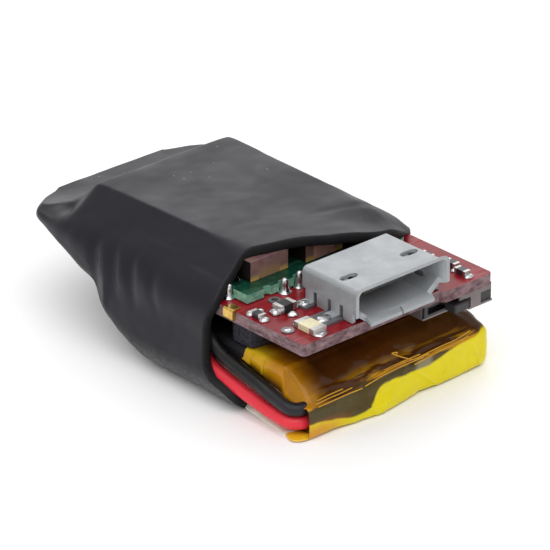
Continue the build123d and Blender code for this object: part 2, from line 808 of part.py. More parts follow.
def switch_base():
    """Moulded base with a pocket for the carriage, a channel for the wiper and a slot for the neck."""
    base = block(SWITCH_X, SWITCH_Y, SWITCH_Z)
    step_x, step_depth = SWITCH_STEP
    base -= block((SWITCH_X[0] - 1, step_x), (FRONT - 1, SWITCH_Y[0] + step_depth), (4, 7))
    base -= block(POCKET_X, POCKET_Y, (SWITCH_Z[0], POCKET_TOP))
    channel_x = (TERMINAL_CENTRES_X[0] - 0.3, TERMINAL_CENTRES_X[2] + 0.3)
    channel_y = (CONTACT_LINE_Y - 0.2, CONTACT_LINE_Y + 0.2)
    base -= block(channel_x, channel_y, (POCKET_TOP, 5.85))
    slot_x = (NECK_X[0] - SWITCH_TRAVEL - 0.1, NECK_X[1] + 0.1)
    base -= block(slot_x, (SWITCH_Y[0], POCKET_Y[0]), (NECK_Z[0] - 0.06, NECK_Z[1] + 0.06))
    for strip in switch_terminals():
        base -= strip
        box = strip.bounding_box()
        base -= block((box.min.X, box.max.X), (box.min.Y, POCKET_Y[1]), (POCKET_TOP, 5.9))
    return base


def switch_cover():
    """Folded metal cover under the base, with a T-shaped flap over the front."""
    low = SWITCH_Z[0] - SWITCH_SHEET
    x = (SWITCH_X[0] - SWITCH_SHEET, SWITCH_X[1] + SWITCH_SHEET)
    front, rear = SWITCH_Y[0] - SWITCH_SHEET, SWITCH_Y[1] + SWITCH_SHEET
    step_x, step_depth = SWITCH_STEP
    cover = block(x, (SWITCH_Y[0] + step_depth, rear), (low, SWITCH_Z[0]))
    cover += block((step_x, SWITCH_X[1]), (front, SWITCH_Y[0] + step_depth), (low, SWITCH_Z[0]))
    side_y = (SWITCH_Y[0] + step_depth + 0.2, SWITCH_Y[1] - 0.3)
    cover += block((x[0], SWITCH_X[0]), side_y, (low, SWITCH_Z[1]))
    cover += block((SWITCH_X[1], x[1]), side_y, (low, 5.7))
    cover += block((6.26, 7.16), (front, SWITCH_Y[0]), (low, 5.8))
    cover += block((5.26, 8.05), (front, SWITCH_Y[0]), (5.68, 5.98))
    return cover


def switch_slider():
    """Knob, neck and carriage of the power switch, moulded in one."""
    wall = SWITCH_Y[0] + SWITCH_STEP[1]
    knob = block(KNOB_X, (FRONT - SOCKET_FLARE, wall - 0.06), KNOB_Z)
    knob = chamfer(knob.edges().group_by(Axis.Y)[0], 0.08)
    neck = block(NECK_X, (wall - 0.2, POCKET_Y[0] + 0.2), NECK_Z)
    carriage = block(CARRIAGE_X, (POCKET_Y[0] + 0.06, POCKET_Y[1] - 0.06), (5.0, 5.62))
    return knob + neck + carriage


def switch_wiper():
    """Bridging contact on the carriage that joins two fixed contacts."""
    y = (CONTACT_LINE_Y - 0.25, CONTACT_LINE_Y + 0.25)
    plate = block((5.35, 7.15), y, (5.62, 5.68))
    for x in TERMINAL_CENTRES_X[1:]:
        y = (CONTACT_LINE_Y - 0.12, CONTACT_LINE_Y + 0.12)
        plate += block((x - 0.12, x + 0.12), y, (5.68, 5.77))
    return plate


def switch_anchor_solder():
    """Solder at the cover's left flap and the three terminals."""
    joints = []
    for x in TERMINAL_CENTRES_X:
        y = (SWITCH_Y[1] + 0.73, SWITCH_Y[1] + 1.0)
        joints.append(block((x - 0.25, x + 0.25), y, (BOARD_BOTTOM - 0.15, BOARD_BOTTOM)))
    y = (SWITCH_Y[0] + 1.1, SWITCH_Y[1] - 0.6)
    z = (BOARD_BOTTOM - 0.25, BOARD_BOTTOM)
    flap_x = SWITCH_X[0] - SWITCH_SHEET
    joints.append(block((flap_x - 0.25, flap_x - 0.01), y, z))
    return joints


# ---------------------------------------------------------------- write every node
def all_nodes():
    """Every node's name and its shape or list of shapes."""
    red_core, black_core = lead_core(RED_ROUTE), lead_core(BLACK_ROUTE)
    cores = (red_core, black_core)
    return {
        "heat_shrink_sleeve": heat_shrink_sleeve(),
        "cell_pouch": cell_pouch(),
        "electrode_stack": electrode_stack(),
        "positive_tab": cell_tab(TAB_CENTRES_X[0]),
        "negative_tab": cell_tab(TAB_CENTRES_X[1]),
        "tab_sealing_films": tab_sealing_films(),
        "protection_board": protection_board(),
        "protection_transistor": protection_transistor(),
        "protection_controller": protection_controller(),
        "protection_chips": protection_chips(),
        "polyimide_tape": polyimide_tape(),
        "red_lead_jacket": lead_insulation(RED_ROUTE),
        "red_lead_core": red_core,
        "black_lead_jacket": lead_insulation(BLACK_ROUTE),
        "black_lead_core": black_core,
        "protection_lead_solder": protection_lead_solder(cores),
        "board_lead_solder": board_lead_solder(cores),
        "foam_pad": foam_pad(),
        "charging_board": charging_board(),
        "plated_eyelets": plated_eyelets(),
        "edge_contact": edge_contact(),
        "socket_shell": socket_shell(),
        "socket_latches": socket_latches(),
        "socket_insulator": socket_insulator(),
        "socket_contacts": socket_contacts(),
        "socket_anchor_solder": socket_anchor_solder(),
        "chip_terminals": chip_terminals(),
        "schottky_diode": schottky_diode(),
        "status_lamp": status_lamp(),
        "chip_resistors": chip_resistors(),
        "ceramic_capacitors": ceramic_capacitors(),
        "converter_board": converter_board(),
        "module_edge_solder": module_edge_solder(),
        "inductor_core": inductor_core(),
        "converter_chip": converter_chip(),
        "charger_chip": charger_chip(),
        "bridge_fuse": bridge_fuse(),
        "bare_jumper": bare_jumper(),
        "switch_base": switch_base(),
        "switch_terminals": switch_terminals(),
        "switch_cover": switch_cover(),
        "switch_slider": switch_slider(),
        "switch_wiper": switch_wiper(),
        "switch_anchor_solder": switch_anchor_solder(),
    }


def main():
    os.makedirs("parts", exist_ok=True)
    for name, shape in all_nodes().items():
        shapes = shape if isinstance(shape, list) else [shape]
        solids = [solid for piece in shapes for solid in piece.solids()]
        export_step(Compound(children=solids), f"parts/{name}.step")


main()
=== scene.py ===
"""Looks for a small LiPo battery pack with a USB charging board in a heat-shrink sleeve.

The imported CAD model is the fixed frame. Soft, folded and soldered pieces are rebuilt here as detailed meshes
around it, and every node gets a procedural material.
"""

import random
from math import acos, copysign, cos, pi, radians, sin, sqrt, tan

import bmesh
import bpy
import numpy as np
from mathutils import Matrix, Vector, noise
from numpy.linalg import norm
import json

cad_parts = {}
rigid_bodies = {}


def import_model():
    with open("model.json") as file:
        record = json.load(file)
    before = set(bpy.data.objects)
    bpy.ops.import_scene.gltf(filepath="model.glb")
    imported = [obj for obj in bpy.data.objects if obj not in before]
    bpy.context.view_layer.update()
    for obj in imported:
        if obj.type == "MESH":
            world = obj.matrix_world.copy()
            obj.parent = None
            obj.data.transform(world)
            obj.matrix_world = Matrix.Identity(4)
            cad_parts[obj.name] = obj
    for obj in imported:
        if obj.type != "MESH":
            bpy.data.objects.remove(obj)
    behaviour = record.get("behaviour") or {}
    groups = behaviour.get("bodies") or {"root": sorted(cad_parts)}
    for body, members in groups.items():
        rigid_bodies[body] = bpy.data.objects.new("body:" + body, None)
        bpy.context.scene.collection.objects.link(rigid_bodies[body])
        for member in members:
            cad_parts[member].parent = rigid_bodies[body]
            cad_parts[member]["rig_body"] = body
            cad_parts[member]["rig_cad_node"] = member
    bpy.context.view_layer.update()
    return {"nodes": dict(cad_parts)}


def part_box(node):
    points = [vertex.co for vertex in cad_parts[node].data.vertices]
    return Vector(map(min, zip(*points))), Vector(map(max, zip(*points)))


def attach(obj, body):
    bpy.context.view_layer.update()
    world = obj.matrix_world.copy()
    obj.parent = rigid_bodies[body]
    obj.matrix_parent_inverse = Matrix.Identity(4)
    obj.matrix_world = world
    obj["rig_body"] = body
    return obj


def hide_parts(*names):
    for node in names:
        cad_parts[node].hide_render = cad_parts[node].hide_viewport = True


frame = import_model()
NODES = frame["nodes"]

MM = 0.001
BOARD_LENGTH = 21.2
# y of the charging board's front edge left of its step, in millimetres. Distances back start from here.
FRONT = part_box("charging_board")[1].y / MM - BOARD_LENGTH
BOARD_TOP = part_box("charging_board")[1].z / MM
MODULE_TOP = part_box("converter_board")[1].z / MM
MODULE_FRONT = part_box("converter_board")[0].y / MM


# ---------------- camera, floor and light
TARGET = Vector((0.0, 0.5, 4.75)) * MM
VIEW_AZIMUTH, VIEW_ELEVATION = 42.05, 25.92
VIEW_DISTANCE = 0.28
LENS, SENSOR_WIDTH = 280.2, 36.0
NEAREST, FURTHEST = 0.01, 50.0  # what the camera sees, in metres
AIM_RIGHT, AIM_DOWN = 1.854 * MM, 0.66 * MM  # the pack lies a little off the middle of the picture
WORLD_LIGHT = 0.66
KEY_LIGHT = (50.0, 68.0, 70.0, 0.5)  # azimuth, elevation, angular width, share of the light
BACK_LIGHT = (222.0, 30.0, 55.0, 0.22)
FLOOR_HALF = 6.0
FLOOR_TONES = ((0.94, 0.94, 0.94), (0.96, 0.96, 0.96))


def add_object(name, data):
    thing = bpy.data.objects.new(name, data)
    bpy.context.scene.collection.objects.link(thing)
    return thing


def heading(azimuth, elevation):
    """Direction from a place at that azimuth and elevation, in degrees, towards the pack."""
    az, el = radians(azimuth), radians(elevation)
    return Vector((sin(az) * cos(el), cos(az) * cos(el), -sin(el)))


def add_camera():
    """Long-lens camera in front and to the left, above the pack."""
    az = radians(VIEW_AZIMUTH)
    forward = heading(VIEW_AZIMUTH, VIEW_ELEVATION)
    right = Vector((cos(az), -sin(az), 0.0))
    up = right.cross(forward)
    aim = TARGET + AIM_RIGHT * right - AIM_DOWN * up
    camera = add_object("camera", bpy.data.cameras.new("camera"))
    camera.location = aim - VIEW_DISTANCE * forward
    camera.rotation_euler = forward.to_track_quat("-Z", "Y").to_euler()
    camera.data.lens = LENS
    camera.data.sensor_width = SENSOR_WIDTH
    camera.data.clip_start = NEAREST
    camera.data.clip_end = FURTHEST
    bpy.context.scene.camera = camera


def soft_sun(name, azimuth, elevation, spread, share):
    """Wide, even light from one side. Its share is how much it adds to a surface that faces it."""
    data = bpy.data.lights.new(name, "SUN")
    data.energy = share * pi
    data.angle = radians(spread)
    light = add_object(name, data)
    light.rotation_euler = heading(azimuth, elevation).to_track_quat("-Z", "Y").to_euler()


def add_stage():
    """White surroundings, a white floor and soft studio lights."""
    world = bpy.data.worlds.new("studio")
    world.use_nodes = True
    back = world.node_tree.nodes["Background"]
    back.inputs["Color"].default_value = (1.0, 1.0, 1.0, 1.0)
    back.inputs["Strength"].default_value = WORLD_LIGHT
    bpy.context.scene.world = world
    soft_sun("key_light", *KEY_LIGHT)
    soft_sun("back_light", *BACK_LIGHT)
    mesh = bpy.data.meshes.new("floor")
    corners = [(x * FLOOR_HALF, y * FLOOR_HALF, 0.0) for x, y in ((-1, -1), (1, -1), (1, 1), (-1, 1))]
    mesh.from_pydata(corners, [], [(0, 1, 2, 3)])
    floor = add_object("floor", mesh)
    shader = Shader("floor_white", rough=0.9, specular=0.2)
    shader.colour(shader.mix(shader.noise(6, 2), *FLOOR_TONES))
    dress(shader.material, floor)


# ---------------- material building
SHADER_SOCKETS = ("Roughness", "Metallic", "Specular IOR Level", "Coat Weight", "Coat Roughness")


class Shader:
    """A material with one Principled shader and short calls for the nodes that feed it."""

    def __init__(self, name, rough=0.5, metallic=0.0, specular=0.5, coat=0.0, coat_rough=0.1):
        self.material = bpy.data.materials.new(name)
        self.material.use_nodes = True
        self.tree = self.material.node_tree
        self.tree.nodes.clear()
        output = self.node("OutputMaterial")
        self.bsdf = self.node("BsdfPrincipled")
        self.tree.links.new(self.bsdf.outputs[0], output.inputs["Surface"])
        for socket, value in zip(SHADER_SOCKETS, (rough, metallic, specular, coat, coat_rough)):
            self.bsdf.inputs[socket].default_value = value
        self.place = self.node("TexCoord").outputs["Object"]
        self.height = None

    def node(self, kind, **inputs):
        """Adds a node and feeds its named inputs."""
        n = self.tree.nodes.new("ShaderNode" + kind)
        for name, value in inputs.items():
            self.feed(n.inputs[name], value)
        return n

    def feed(self, socket, value):
        """Links an output or sets a plain value."""
        if isinstance(value, bpy.types.NodeSocket):
            self.tree.links.new(value, socket)
        elif isinstance(value, tuple) and len(value) == 3 and socket.type == "RGBA":
            socket.default_value = (*value, 1.0)
        else:
            socket.default_value = value

    def stretched(self, factors):
        """The place, scaled by its own factor along each axis."""
        return self.node("Mapping", Vector=self.place, Scale=factors).outputs[0]

    def noise(self, per_metre, detail=3, at=None, roughness=0.5, distortion=0.0):
        """Noise between 0 and 1 with so many features in a metre."""
        n = self.node("TexNoise", Vector=at or self.place, Scale=per_metre, Detail=detail)
        self.feed(n.inputs["Roughness"], roughness)
        self.feed(n.inputs["Distortion"], distortion)
        return n.outputs[0]

    def cells(self, per_metre):
        """Distance to the nearest of scattered points."""
        return self.node("TexVoronoi", Vector=self.place, Scale=per_metre).outputs["Distance"]

    def axis(self, name, source=None):
        """One coordinate of the place, in metres."""
        return self.node("SeparateXYZ", Vector=source or self.place).outputs["XYZ".index(name)]

    def facing(self, name):
        """One coordinate of the surface's normal."""
        return self.axis(name, self.node("NewGeometry").outputs["Normal"])

    def span(self, value, low, high, to_low=0.0, to_high=1.0, smooth=True):
        """The value moved from one span to another and held at its ends."""
        n = self.node("MapRange")
        n.interpolation_type = "SMOOTHSTEP" if smooth else "LINEAR"
        for index, entry in enumerate((value, low, high, to_low, to_high)):
            self.feed(n.inputs[index], entry)
        return n.outputs[0]

    def zone(self, value, low, high, to_low=0.0, to_high=1.0, smooth=True):
        """The same, for a coordinate and ends given in millimetres."""
        return self.span(value, low * MM, high * MM, to_low, to_high, smooth)

    def maths(self, kind, a, b=0.0):
        n = self.node("Math")
        n.operation = kind
        self.feed(n.inputs[0], a)
        self.feed(n.inputs[1], b)
        return n.outputs[0]

    def times(self, a, b):
        return self.maths("MULTIPLY", a, b)

    def plus(self, a, b):
        return self.maths("ADD", a, b)

    def minus(self, a, b):
        return self.maths("SUBTRACT", a, b)

    def inverse(self, a):
        return self.minus(1.0, a)

    def mix(self, factor, a, b):
        n = self.node("Mix")
        n.data_type = "RGBA"
        sockets = [s for s in n.inputs if s.enabled]
        self.feed(sockets[0], factor)
        self.feed(sockets[1], a)
        self.feed(sockets[2], b)
        return next(s for s in n.outputs if s.enabled)

    def shade(self, tones, factor):
        """From the first to the second colour of an entry of TONES."""
        dark, light = TONES[tones]
        return self.mix(factor, srgb(*dark), srgb(*light))

    def mottle(self, tones, per_metre, detail=3, distortion=0.0):
        """Noise between the two colours of an entry of TONES."""
        return self.shade(tones, self.noise(per_metre, detail, distortion=distortion))

    def tint(self, colour, name, factor, share=1.0):
        """The colour, moved towards an entry of COLOURS by the factor times a share."""
        factor = factor if share == 1.0 else self.times(factor, share)
        return self.mix(factor, colour, srgb(*COLOURS[name]))

    def colour(self, value):
        self.feed(self.bsdf.inputs["Base Color"], value)

    def roughness(self, value):
        self.feed(self.bsdf.inputs["Roughness"], value)

    def gloss(self, per_metre, low, high):
        """Roughness that drifts between two values."""
        self.roughness(self.span(self.noise(per_metre), 0.3, 0.7, low, high))

    def metal(self, value):
        self.feed(self.bsdf.inputs["Metallic"], value)

    def bump(self, height, depth_mm, strength=1.0):
        """Relief of so many millimetres. Calls stack."""
        n = self.node("Bump", Strength=strength, Distance=depth_mm * MM, Height=height)
        if self.height is not None:
            self.feed(n.inputs["Normal"], self.height)
        self.height = n.outputs[0]
        self.feed(self.bsdf.inputs["Normal"], self.height)


def srgb(red, green, blue):
    """A colour given as it looks on a screen, from 0 to 255, as the linear values that shaders take."""
    out = []
    for value in (red, green, blue):
        value = value / 255
        out.append(value / 12.92 if value <= 0.04045 else ((value + 0.055) / 1.055) ** 2.4)
    return tuple(out)


def dress(material, *names):
    """Gives CAD nodes or pieces one material in place of what they had."""
    for name in names:
        data = (NODES[name] if isinstance(name, str) else name).data
        data.materials.clear()
        data.materials.append(material)


# ---------------- materials
# Pairs of screen colours that a material runs between, mostly dark and light.
TONES = {
    "sleeve": ((18, 17, 21), (26, 24, 30)),
    "sleeve_inside": ((20, 20, 22), (34, 34, 36)),
    "lemon": ((216, 198, 0), (230, 214, 6)),
    "shaded_brown": ((44, 19, 6), (94, 55, 15)),
    "amber": ((150, 92, 8), (200, 142, 18)),
    "lead_shadow": ((34, 24, 18), (70, 50, 30)),
    "film_fold": ((160, 100, 6), (222, 170, 16)),
    "film_lip": ((206, 150, 16), (238, 200, 40)),
    "foil_pale": ((226, 223, 205), (244, 242, 230)),
    "foil_dark": ((40, 28, 18), (70, 48, 22)),
    "foam": ((20, 20, 25), (47, 46, 56)),
    "ceramic_foot_to_top": ((150, 118, 84), (108, 78, 82)),
    "tin": ((176, 174, 172), (222, 220, 216)),
    "oxidised_tin": ((120, 88, 86), (152, 118, 108)),
    "lead_red": ((216, 38, 54), (234, 56, 70)),
    "lead_black": ((20, 20, 23), (34, 34, 39)),
    "board_red": ((108, 10, 20), (142, 18, 30)),
    "board_red_edge": ((84, 60, 64), (146, 120, 124)),
    "board_green": ((8, 44, 34), (18, 66, 50)),
    "board_green_edge": ((86, 146, 122), (150, 196, 170)),
    "board_protection": ((14, 60, 40), (26, 84, 56)),
    "board_protection_edge": ((150, 150, 120), (180, 180, 150)),
    "solder_bright": ((170, 170, 172), (232, 232, 234)),
    "solder_dull": ((104, 104, 108), (150, 150, 154)),
    "gilt": ((196, 150, 66), (240, 208, 120)),
    "socket_steel": ((150, 153, 156), (166, 169, 172)),
    "switch_steel": ((104, 95, 96), (132, 122, 122)),
    "nickel": ((170, 166, 158), (206, 202, 192)),
    "copper": ((178, 104, 66), (220, 146, 104)),
    "package_black": ((24, 24, 26), (42, 41, 43)),
    "switch_black": ((32, 31, 33), (54, 52, 54)),
    "socket_plastic": ((52, 50, 50), (72, 69, 68)),
    "resistor_black": ((26, 26, 30), (46, 46, 50)),
    "lamp_cream": ((214, 202, 158), (232, 224, 190)),
    "ferrite": ((38, 38, 40), (62, 61, 62)),
    "electrodes": ((40, 40, 42), (60, 60, 62)),
    "sealing_film": ((206, 202, 186), (226, 222, 208)),
    "insulation_dark": ((18, 18, 22), (34, 33, 39)),
}
# Single screen colours for marks and places within a material.
COLOURS = {
    "rub_mark": (70, 70, 74),
    "dust": (160, 160, 160),
    "scuff_and_floor_reflection": (134, 134, 132),
    "grime": (186, 156, 16),
    "dark_amber": (104, 58, 14),
    "yellow_corner": (222, 188, 30),
    "amber_rim": (196, 132, 22),
    "gold_streak_highlight": (206, 150, 14),
    "grey_shadow": (52, 42, 38),
    "red_lead_glow": (206, 112, 50),
    "grey_spot": (150, 140, 110),
    "inside_painted_shade": (9, 9, 11),
    "pink_ceramic_painted_light": (204, 152, 136),
    "ceramic_speck": (140, 112, 108),
    "gold_foot": (206, 168, 96),
    "cap_end_painted_shade": (34, 27, 25),
    "board_red_flecks": (160, 50, 60),
    "board_green_flecks": (60, 110, 84),
    "board_protection_flecks": (50, 100, 70),
}
SLEEVE_GLOSS_TINT = (0.9, 0.88, 1.0, 1.0)
# Lower edge of the dark band that the leads make behind the tape's front: share of the way from the first
# to the second x, and share of the greatest height.
LEAD_SHADOW = (
    (0.0, 0.39), (0.1, 0.32), (0.27, 0.2), (0.36, 0.3), (0.45, 0.6), (0.66, 0.6), (0.79, 0.66), (1.0, 0.9)
)
LEAD_SHADOW_X = (-7.4, 6.6)
LEAD_SHADOW_HEIGHT = 3.0
GLASS_WEAVE = 5200.0  # radians in a metre


def sleeve_material():
    """Satin black tubing: fine grain, faint rub marks, a few specks of dust, and scuffs near the ground that
    also serve as a painted reflection of the white floor.
    """
    s = Shader("sleeve_satin", rough=0.42, specular=0.3)
    s.bsdf.inputs["Specular Tint"].default_value = SLEEVE_GLOSS_TINT
    rubs = s.span(s.noise(900, 2, at=s.stretched((1.0, 0.12, 1.0))), 0.62, 0.8)
    base = s.tint(s.mottle("sleeve", 180), "rub_mark", rubs, 0.2)
    dust = s.times(s.span(s.cells(900), 0.06, 0.03), s.span(s.noise(90, 0), 0.42, 0.52))
    base = s.tint(base, "dust", dust, 0.55)
    # Lighter towards the ground: scuffs and a painted reflection of the white floor.
    scuffs_and_floor_reflection = s.times(s.zone(s.axis("Z"), 2.6, 0.6), s.span(s.noise(3600, 4), 0.35, 0.75, 0.15, 0.55))
    s.colour(s.tint(base, "scuff_and_floor_reflection", scuffs_and_floor_reflection))
    s.roughness(s.plus(s.span(s.noise(260), 0.3, 0.7, 0.36, 0.5), s.times(rubs, 0.06)))
    s.bump(s.noise(9000, 2), 0.012, 0.35)
    s.bump(s.noise(700, 4), 0.05, 0.3)
    return s.material


def cut_rim_material():
    """Cut edge and inside of the tubing, a little rougher than its skin."""
    s = Shader("sleeve_inside", rough=0.6, specular=0.2)
    s.colour(s.mottle("sleeve_inside", 1500))
    s.bump(s.noise(3500, at=s.stretched((1.0, 0.3, 1.0))), 0.03, 0.6)
    return s.material


def tape_top(s, x, y, above_crease):
    """Film on top: brown, partly the dark cell behind it and partly painted shade under the board, amber at
    both ends, with streaks of painted gold highlight along the crease.
    """
    # Brown: partly the dark cell behind the film, partly painted shade and a painted reflection of the board's
    # dark underside.
    shaded_brown = s.mottle("shaded_brown", 300, 5, distortion=0.8)
    amber = s.tint(s.mottle("amber", 520, 4), "dark_amber", s.span(s.noise(240, 5), 0.46, 0.66))
    left = s.zone(s.plus(x, s.times(y, -0.12)), -3.6, -5.9)
    right = s.times(s.zone(x, 1.5, 6.0), s.zone(y, FRONT + 1.2, FRONT + 4.2))
    top = s.mix(s.maths("MAXIMUM", left, s.times(right, 0.8)), shaded_brown, amber)
    corner = s.times(s.zone(y, FRONT + 3.4, FRONT + 5.0), s.zone(x, -5.6, -7.0))
    top = s.tint(top, "yellow_corner", corner)
    top = s.tint(top, "amber_rim", s.zone(x, -6.95, -7.4), 0.6)
    # Painted highlights: gold streaks on the film along the crease.
    highlight_streaks = s.span(s.noise(1500, at=s.stretched((0.12, 1.0, 1.0))), 0.5, 0.6)
    return s.tint(top, "gold_streak_highlight", s.times(highlight_streaks, s.zone(above_crease, 0.8, 0.15)), 0.85)


def lead_shadow(s, x):
    """Height of the lower edge of the dark band along the tape's front."""
    line = s.node("FloatCurve")
    points = line.mapping.curves[0].points
    for at, value in LEAD_SHADOW[1:-1]:
        points.new(at, value)
    points[0].location = LEAD_SHADOW[0]
    points[len(points) - 1].location = LEAD_SHADOW[-1]
    line.mapping.update()
    s.feed(line.inputs["Value"], s.zone(x, *LEAD_SHADOW_X, smooth=False))
    return s.times(line.outputs[0], LEAD_SHADOW_HEIGHT * MM)


def tape_front(s, x, z, wander):
    """Film over pale paper: lemon, with the black lead dark behind its top and the red one at its corner."""
    lemon = s.tint(s.mottle("lemon", 420), "grime", s.span(s.noise(900, 4), 0.55, 0.8), 0.3)
    over_lead = s.zone(s.minus(z, s.plus(lead_shadow(s, x), s.times(wander, 0.5))), -0.07, 0.12)
    dark = s.tint(s.mottle("lead_shadow", 900, 4), "grey_shadow", s.zone(x, -3.0, -7.0, 0.0, 0.7))
    front = s.mix(s.times(over_lead, 0.95), lemon, dark)
    front = s.tint(front, "red_lead_glow", s.times(s.zone(x, -3.4, -7.0), s.zone(z, 1.4, 0.5)), 0.7)
    # A soft grey spot on the front near x 2.5 mm, just under the crease.
    grey_spot = s.zone(s.maths("ABSOLUTE", s.plus(x, -2.5 * MM)), 0.9, 0.4)
    return s.tint(front, "grey_spot", s.times(grey_spot, s.zone(z, 1.7, 1.85)), 0.7)


def tape_material():
    """Glossy polyimide film: lemon where light paper backs it, amber to brown on top, the brown partly the
    dark cell behind and partly painted shade under the board.
    """
    s = Shader("polyimide_film", rough=0.18, specular=0.22, coat=0.08, coat_rough=0.06)
    x, y, z = (s.axis(name) for name in "XYZ")
    wander = s.times(s.minus(s.noise(500), 0.5), 0.8 * MM)
    crease = s.plus(s.times(s.zone(x, -6.5, -0.8), 0.38 * MM), 2.02 * MM)
    above = s.minus(z, crease)
    up = s.zone(s.plus(above, s.times(wander, 0.25)), -0.05, 0.06)
    right_end = s.plus(s.times(s.zone(z, 2.2, 2.9), 0.9 * MM), 6.9 * MM)
    past_end = s.zone(s.minus(s.plus(x, wander), right_end), -0.15, 0.25)
    on_top = s.times(up, s.inverse(past_end))
    s.colour(s.mix(on_top, tape_front(s, x, z, wander), tape_top(s, x, y, above)))
    s.roughness(s.span(s.noise(800), 0.3, 0.75, 0.08, 0.24))
    s.bump(s.noise(620, 4, at=s.stretched((0.45, 1.0, 1.0))), 0.12, 0.7)
    s.bump(s.noise(2600), 0.02, 0.4)
    return s.material


def fold_material():
    """Film doubled on itself, bright gold along the fold."""
    s = Shader("film_fold", rough=0.18, specular=0.4, coat=0.3, coat_rough=0.05)
    s.colour(s.mottle("film_fold", 900))
    s.bump(s.noise(4000, 2), 0.01, 0.6)
    return s.material


def lip_material():
    """Clean gold film with nothing behind it."""
    s = Shader("film_lip", rough=0.12, specular=0.6, coat=0.6, coat_rough=0.05)
    s.colour(s.mottle("film_lip", 700))
    s.bump(s.noise(1800), 0.04, 0.6)
    return s.material


def lead_material(name, rough, painted_shade_from=None):
    """Soft silicone insulation with faint marks, with painted shade from some distance back if asked."""
    s = Shader(name, rough=rough, specular=0.35, coat=0.06, coat_rough=0.3)
    skin = s.mottle(name, 900)
    if painted_shade_from is not None:
        start = FRONT + painted_shade_from
        # Painted shade: the jacket turns near black where it runs deep under the board and into the sleeve.
        skin = s.tint(skin, "inside_painted_shade", s.zone(s.axis("Y"), start, start + 2.0))
    s.colour(skin)
    s.gloss(1600, rough - 0.06, rough + 0.1)
    s.bump(s.noise(5000, 2), 0.01, 0.4)
    return s.material


def metal_material(name, rough, per_metre=1800, relief=0.01, metallic=1.0):
    """A metal with cloudy tone, varied gloss and slight relief."""
    s = Shader(name, rough=rough, metallic=metallic)
    grain = s.noise(per_metre, 4)
    s.colour(s.shade(name, grain))
    s.gloss(per_metre * 0.6, max(rough - 0.08, 0.05), rough + 0.1)
    s.bump(grain, relief, 0.6)
    return s.material


def plain_material(name, rough, per_metre=2500, relief=0.01):
    """Moulded plastic, ceramic or laminate with speckle and slight relief."""
    s = Shader(name, rough=rough)
    s.colour(s.mottle(name, per_metre, 4))
    s.gloss(per_metre * 0.5, max(rough - 0.08, 0.05), rough + 0.1)
    s.bump(s.noise(per_metre * 1.7), relief, 0.5)
    return s.material


def board_material(name):
    """Circuit board: glossy solder mask above and below, sawn glass fibre at the edges."""
    s = Shader(name, rough=0.34, specular=0.2, coat=0.06, coat_rough=0.18)
    flecks = name + "_flecks"
    weave = s.times(*(s.maths("SINE", s.times(s.axis(way), GLASS_WEAVE)) for way in "XY"))
    mask = s.tint(s.mottle(name, 240), flecks, s.span(weave, 0.1, 0.9, 0.0, 0.14))
    # Copper tracks under the mask: raised lines that run along X in places.
    lines = s.span(s.noise(1300, 2, at=s.stretched((0.1, 1.0, 1.0))), 0.5, 0.56)
    tracks = s.times(lines, s.span(s.noise(260, 0), 0.42, 0.5))
    mask = s.tint(mask, flecks, tracks, 0.35)
    layers = s.noise(2200, 5, at=s.stretched((0.6, 0.6, 1.2)), roughness=0.7)
    fibre = s.shade(name + "_edge", s.span(layers, 0.3, 0.7))
    edge = s.span(s.maths("ABSOLUTE", s.facing("Z")), 0.75, 0.5)
    s.colour(s.mix(edge, mask, fibre))
    s.roughness(s.span(edge, 0.0, 1.0, 0.28, 0.75))
    s.bump(s.times(layers, edge), 0.05, 0.7)
    s.bump(s.times(tracks, s.inverse(edge)), 0.03, 0.8)
    s.bump(s.noise(3000, 2), 0.008, 0.5)
    return s.material


def capacitor_material():
    """Brown ceramic, pinker at the top and sandier towards the foot, with the chip on the right painted a
    lighter pink as painted light against the sleeve mouth's shade.
    """
    s = Shader("capacitor_ceramic", rough=0.34, coat=0.1, coat_rough=0.2)
    cloud = s.times(s.minus(s.noise(600), 0.5), 0.5 * MM)
    up = s.zone(s.plus(s.axis("Z"), cloud), MODULE_TOP + 0.15, MODULE_TOP + 1.3)
    # Painted light: the chip right of x −1.4 mm is lifted to a lighter pink where the sleeve's mouth shades
    # it.
    tone = s.tint(s.shade("ceramic_foot_to_top", up), "pink_ceramic_painted_light", s.zone(s.axis("X"), -1.6, -1.2))
    s.colour(s.tint(tone, "ceramic_speck", s.span(s.noise(2600, 4), 0.35, 0.7, 0.0, 0.45)))
    s.bump(s.noise(4200), 0.012, 0.5)
    return s.material


def cap_material():
    """Plated chip ends: bright tin on the board, oxidised and gold towards the foot on the module, with
    painted shade on the module chips' left-facing ends.
    """
    s = Shader("tin_caps", rough=0.34)
    grain = s.noise(3000, 4)
    foot = s.zone(s.axis("Z"), MODULE_TOP + 0.5, MODULE_TOP + 0.1)
    raised = s.zone(s.axis("Z"), MODULE_TOP - 0.06, MODULE_TOP)
    dull = s.tint(s.shade("oxidised_tin", grain), "gold_foot", foot)
    # Painted shade on the end faces that look towards −X.
    shaded_end_face = s.times(raised, s.span(s.facing("X"), -0.6, -0.8))
    s.colour(s.tint(s.mix(raised, s.shade("tin", grain), dull), "cap_end_painted_shade", shaded_end_face))
    s.metal(s.span(raised, 0.0, 1.0, 1.0, 0.25))
    s.gloss(1800, 0.28, 0.46)
    s.bump(grain, 0.015, 0.6)
    return s.material


def foam_material():
    """Black closed-cell foam with small open pores."""
    s = Shader("foam_black", rough=0.72, specular=0.35)
    pores = s.cells(3600)
    s.colour(s.shade("foam", s.span(pores, 0.1, 0.7)))
    s.bump(pores, 0.06, 0.7)
    s.bump(s.noise(500), 0.1, 0.5)
    return s.material


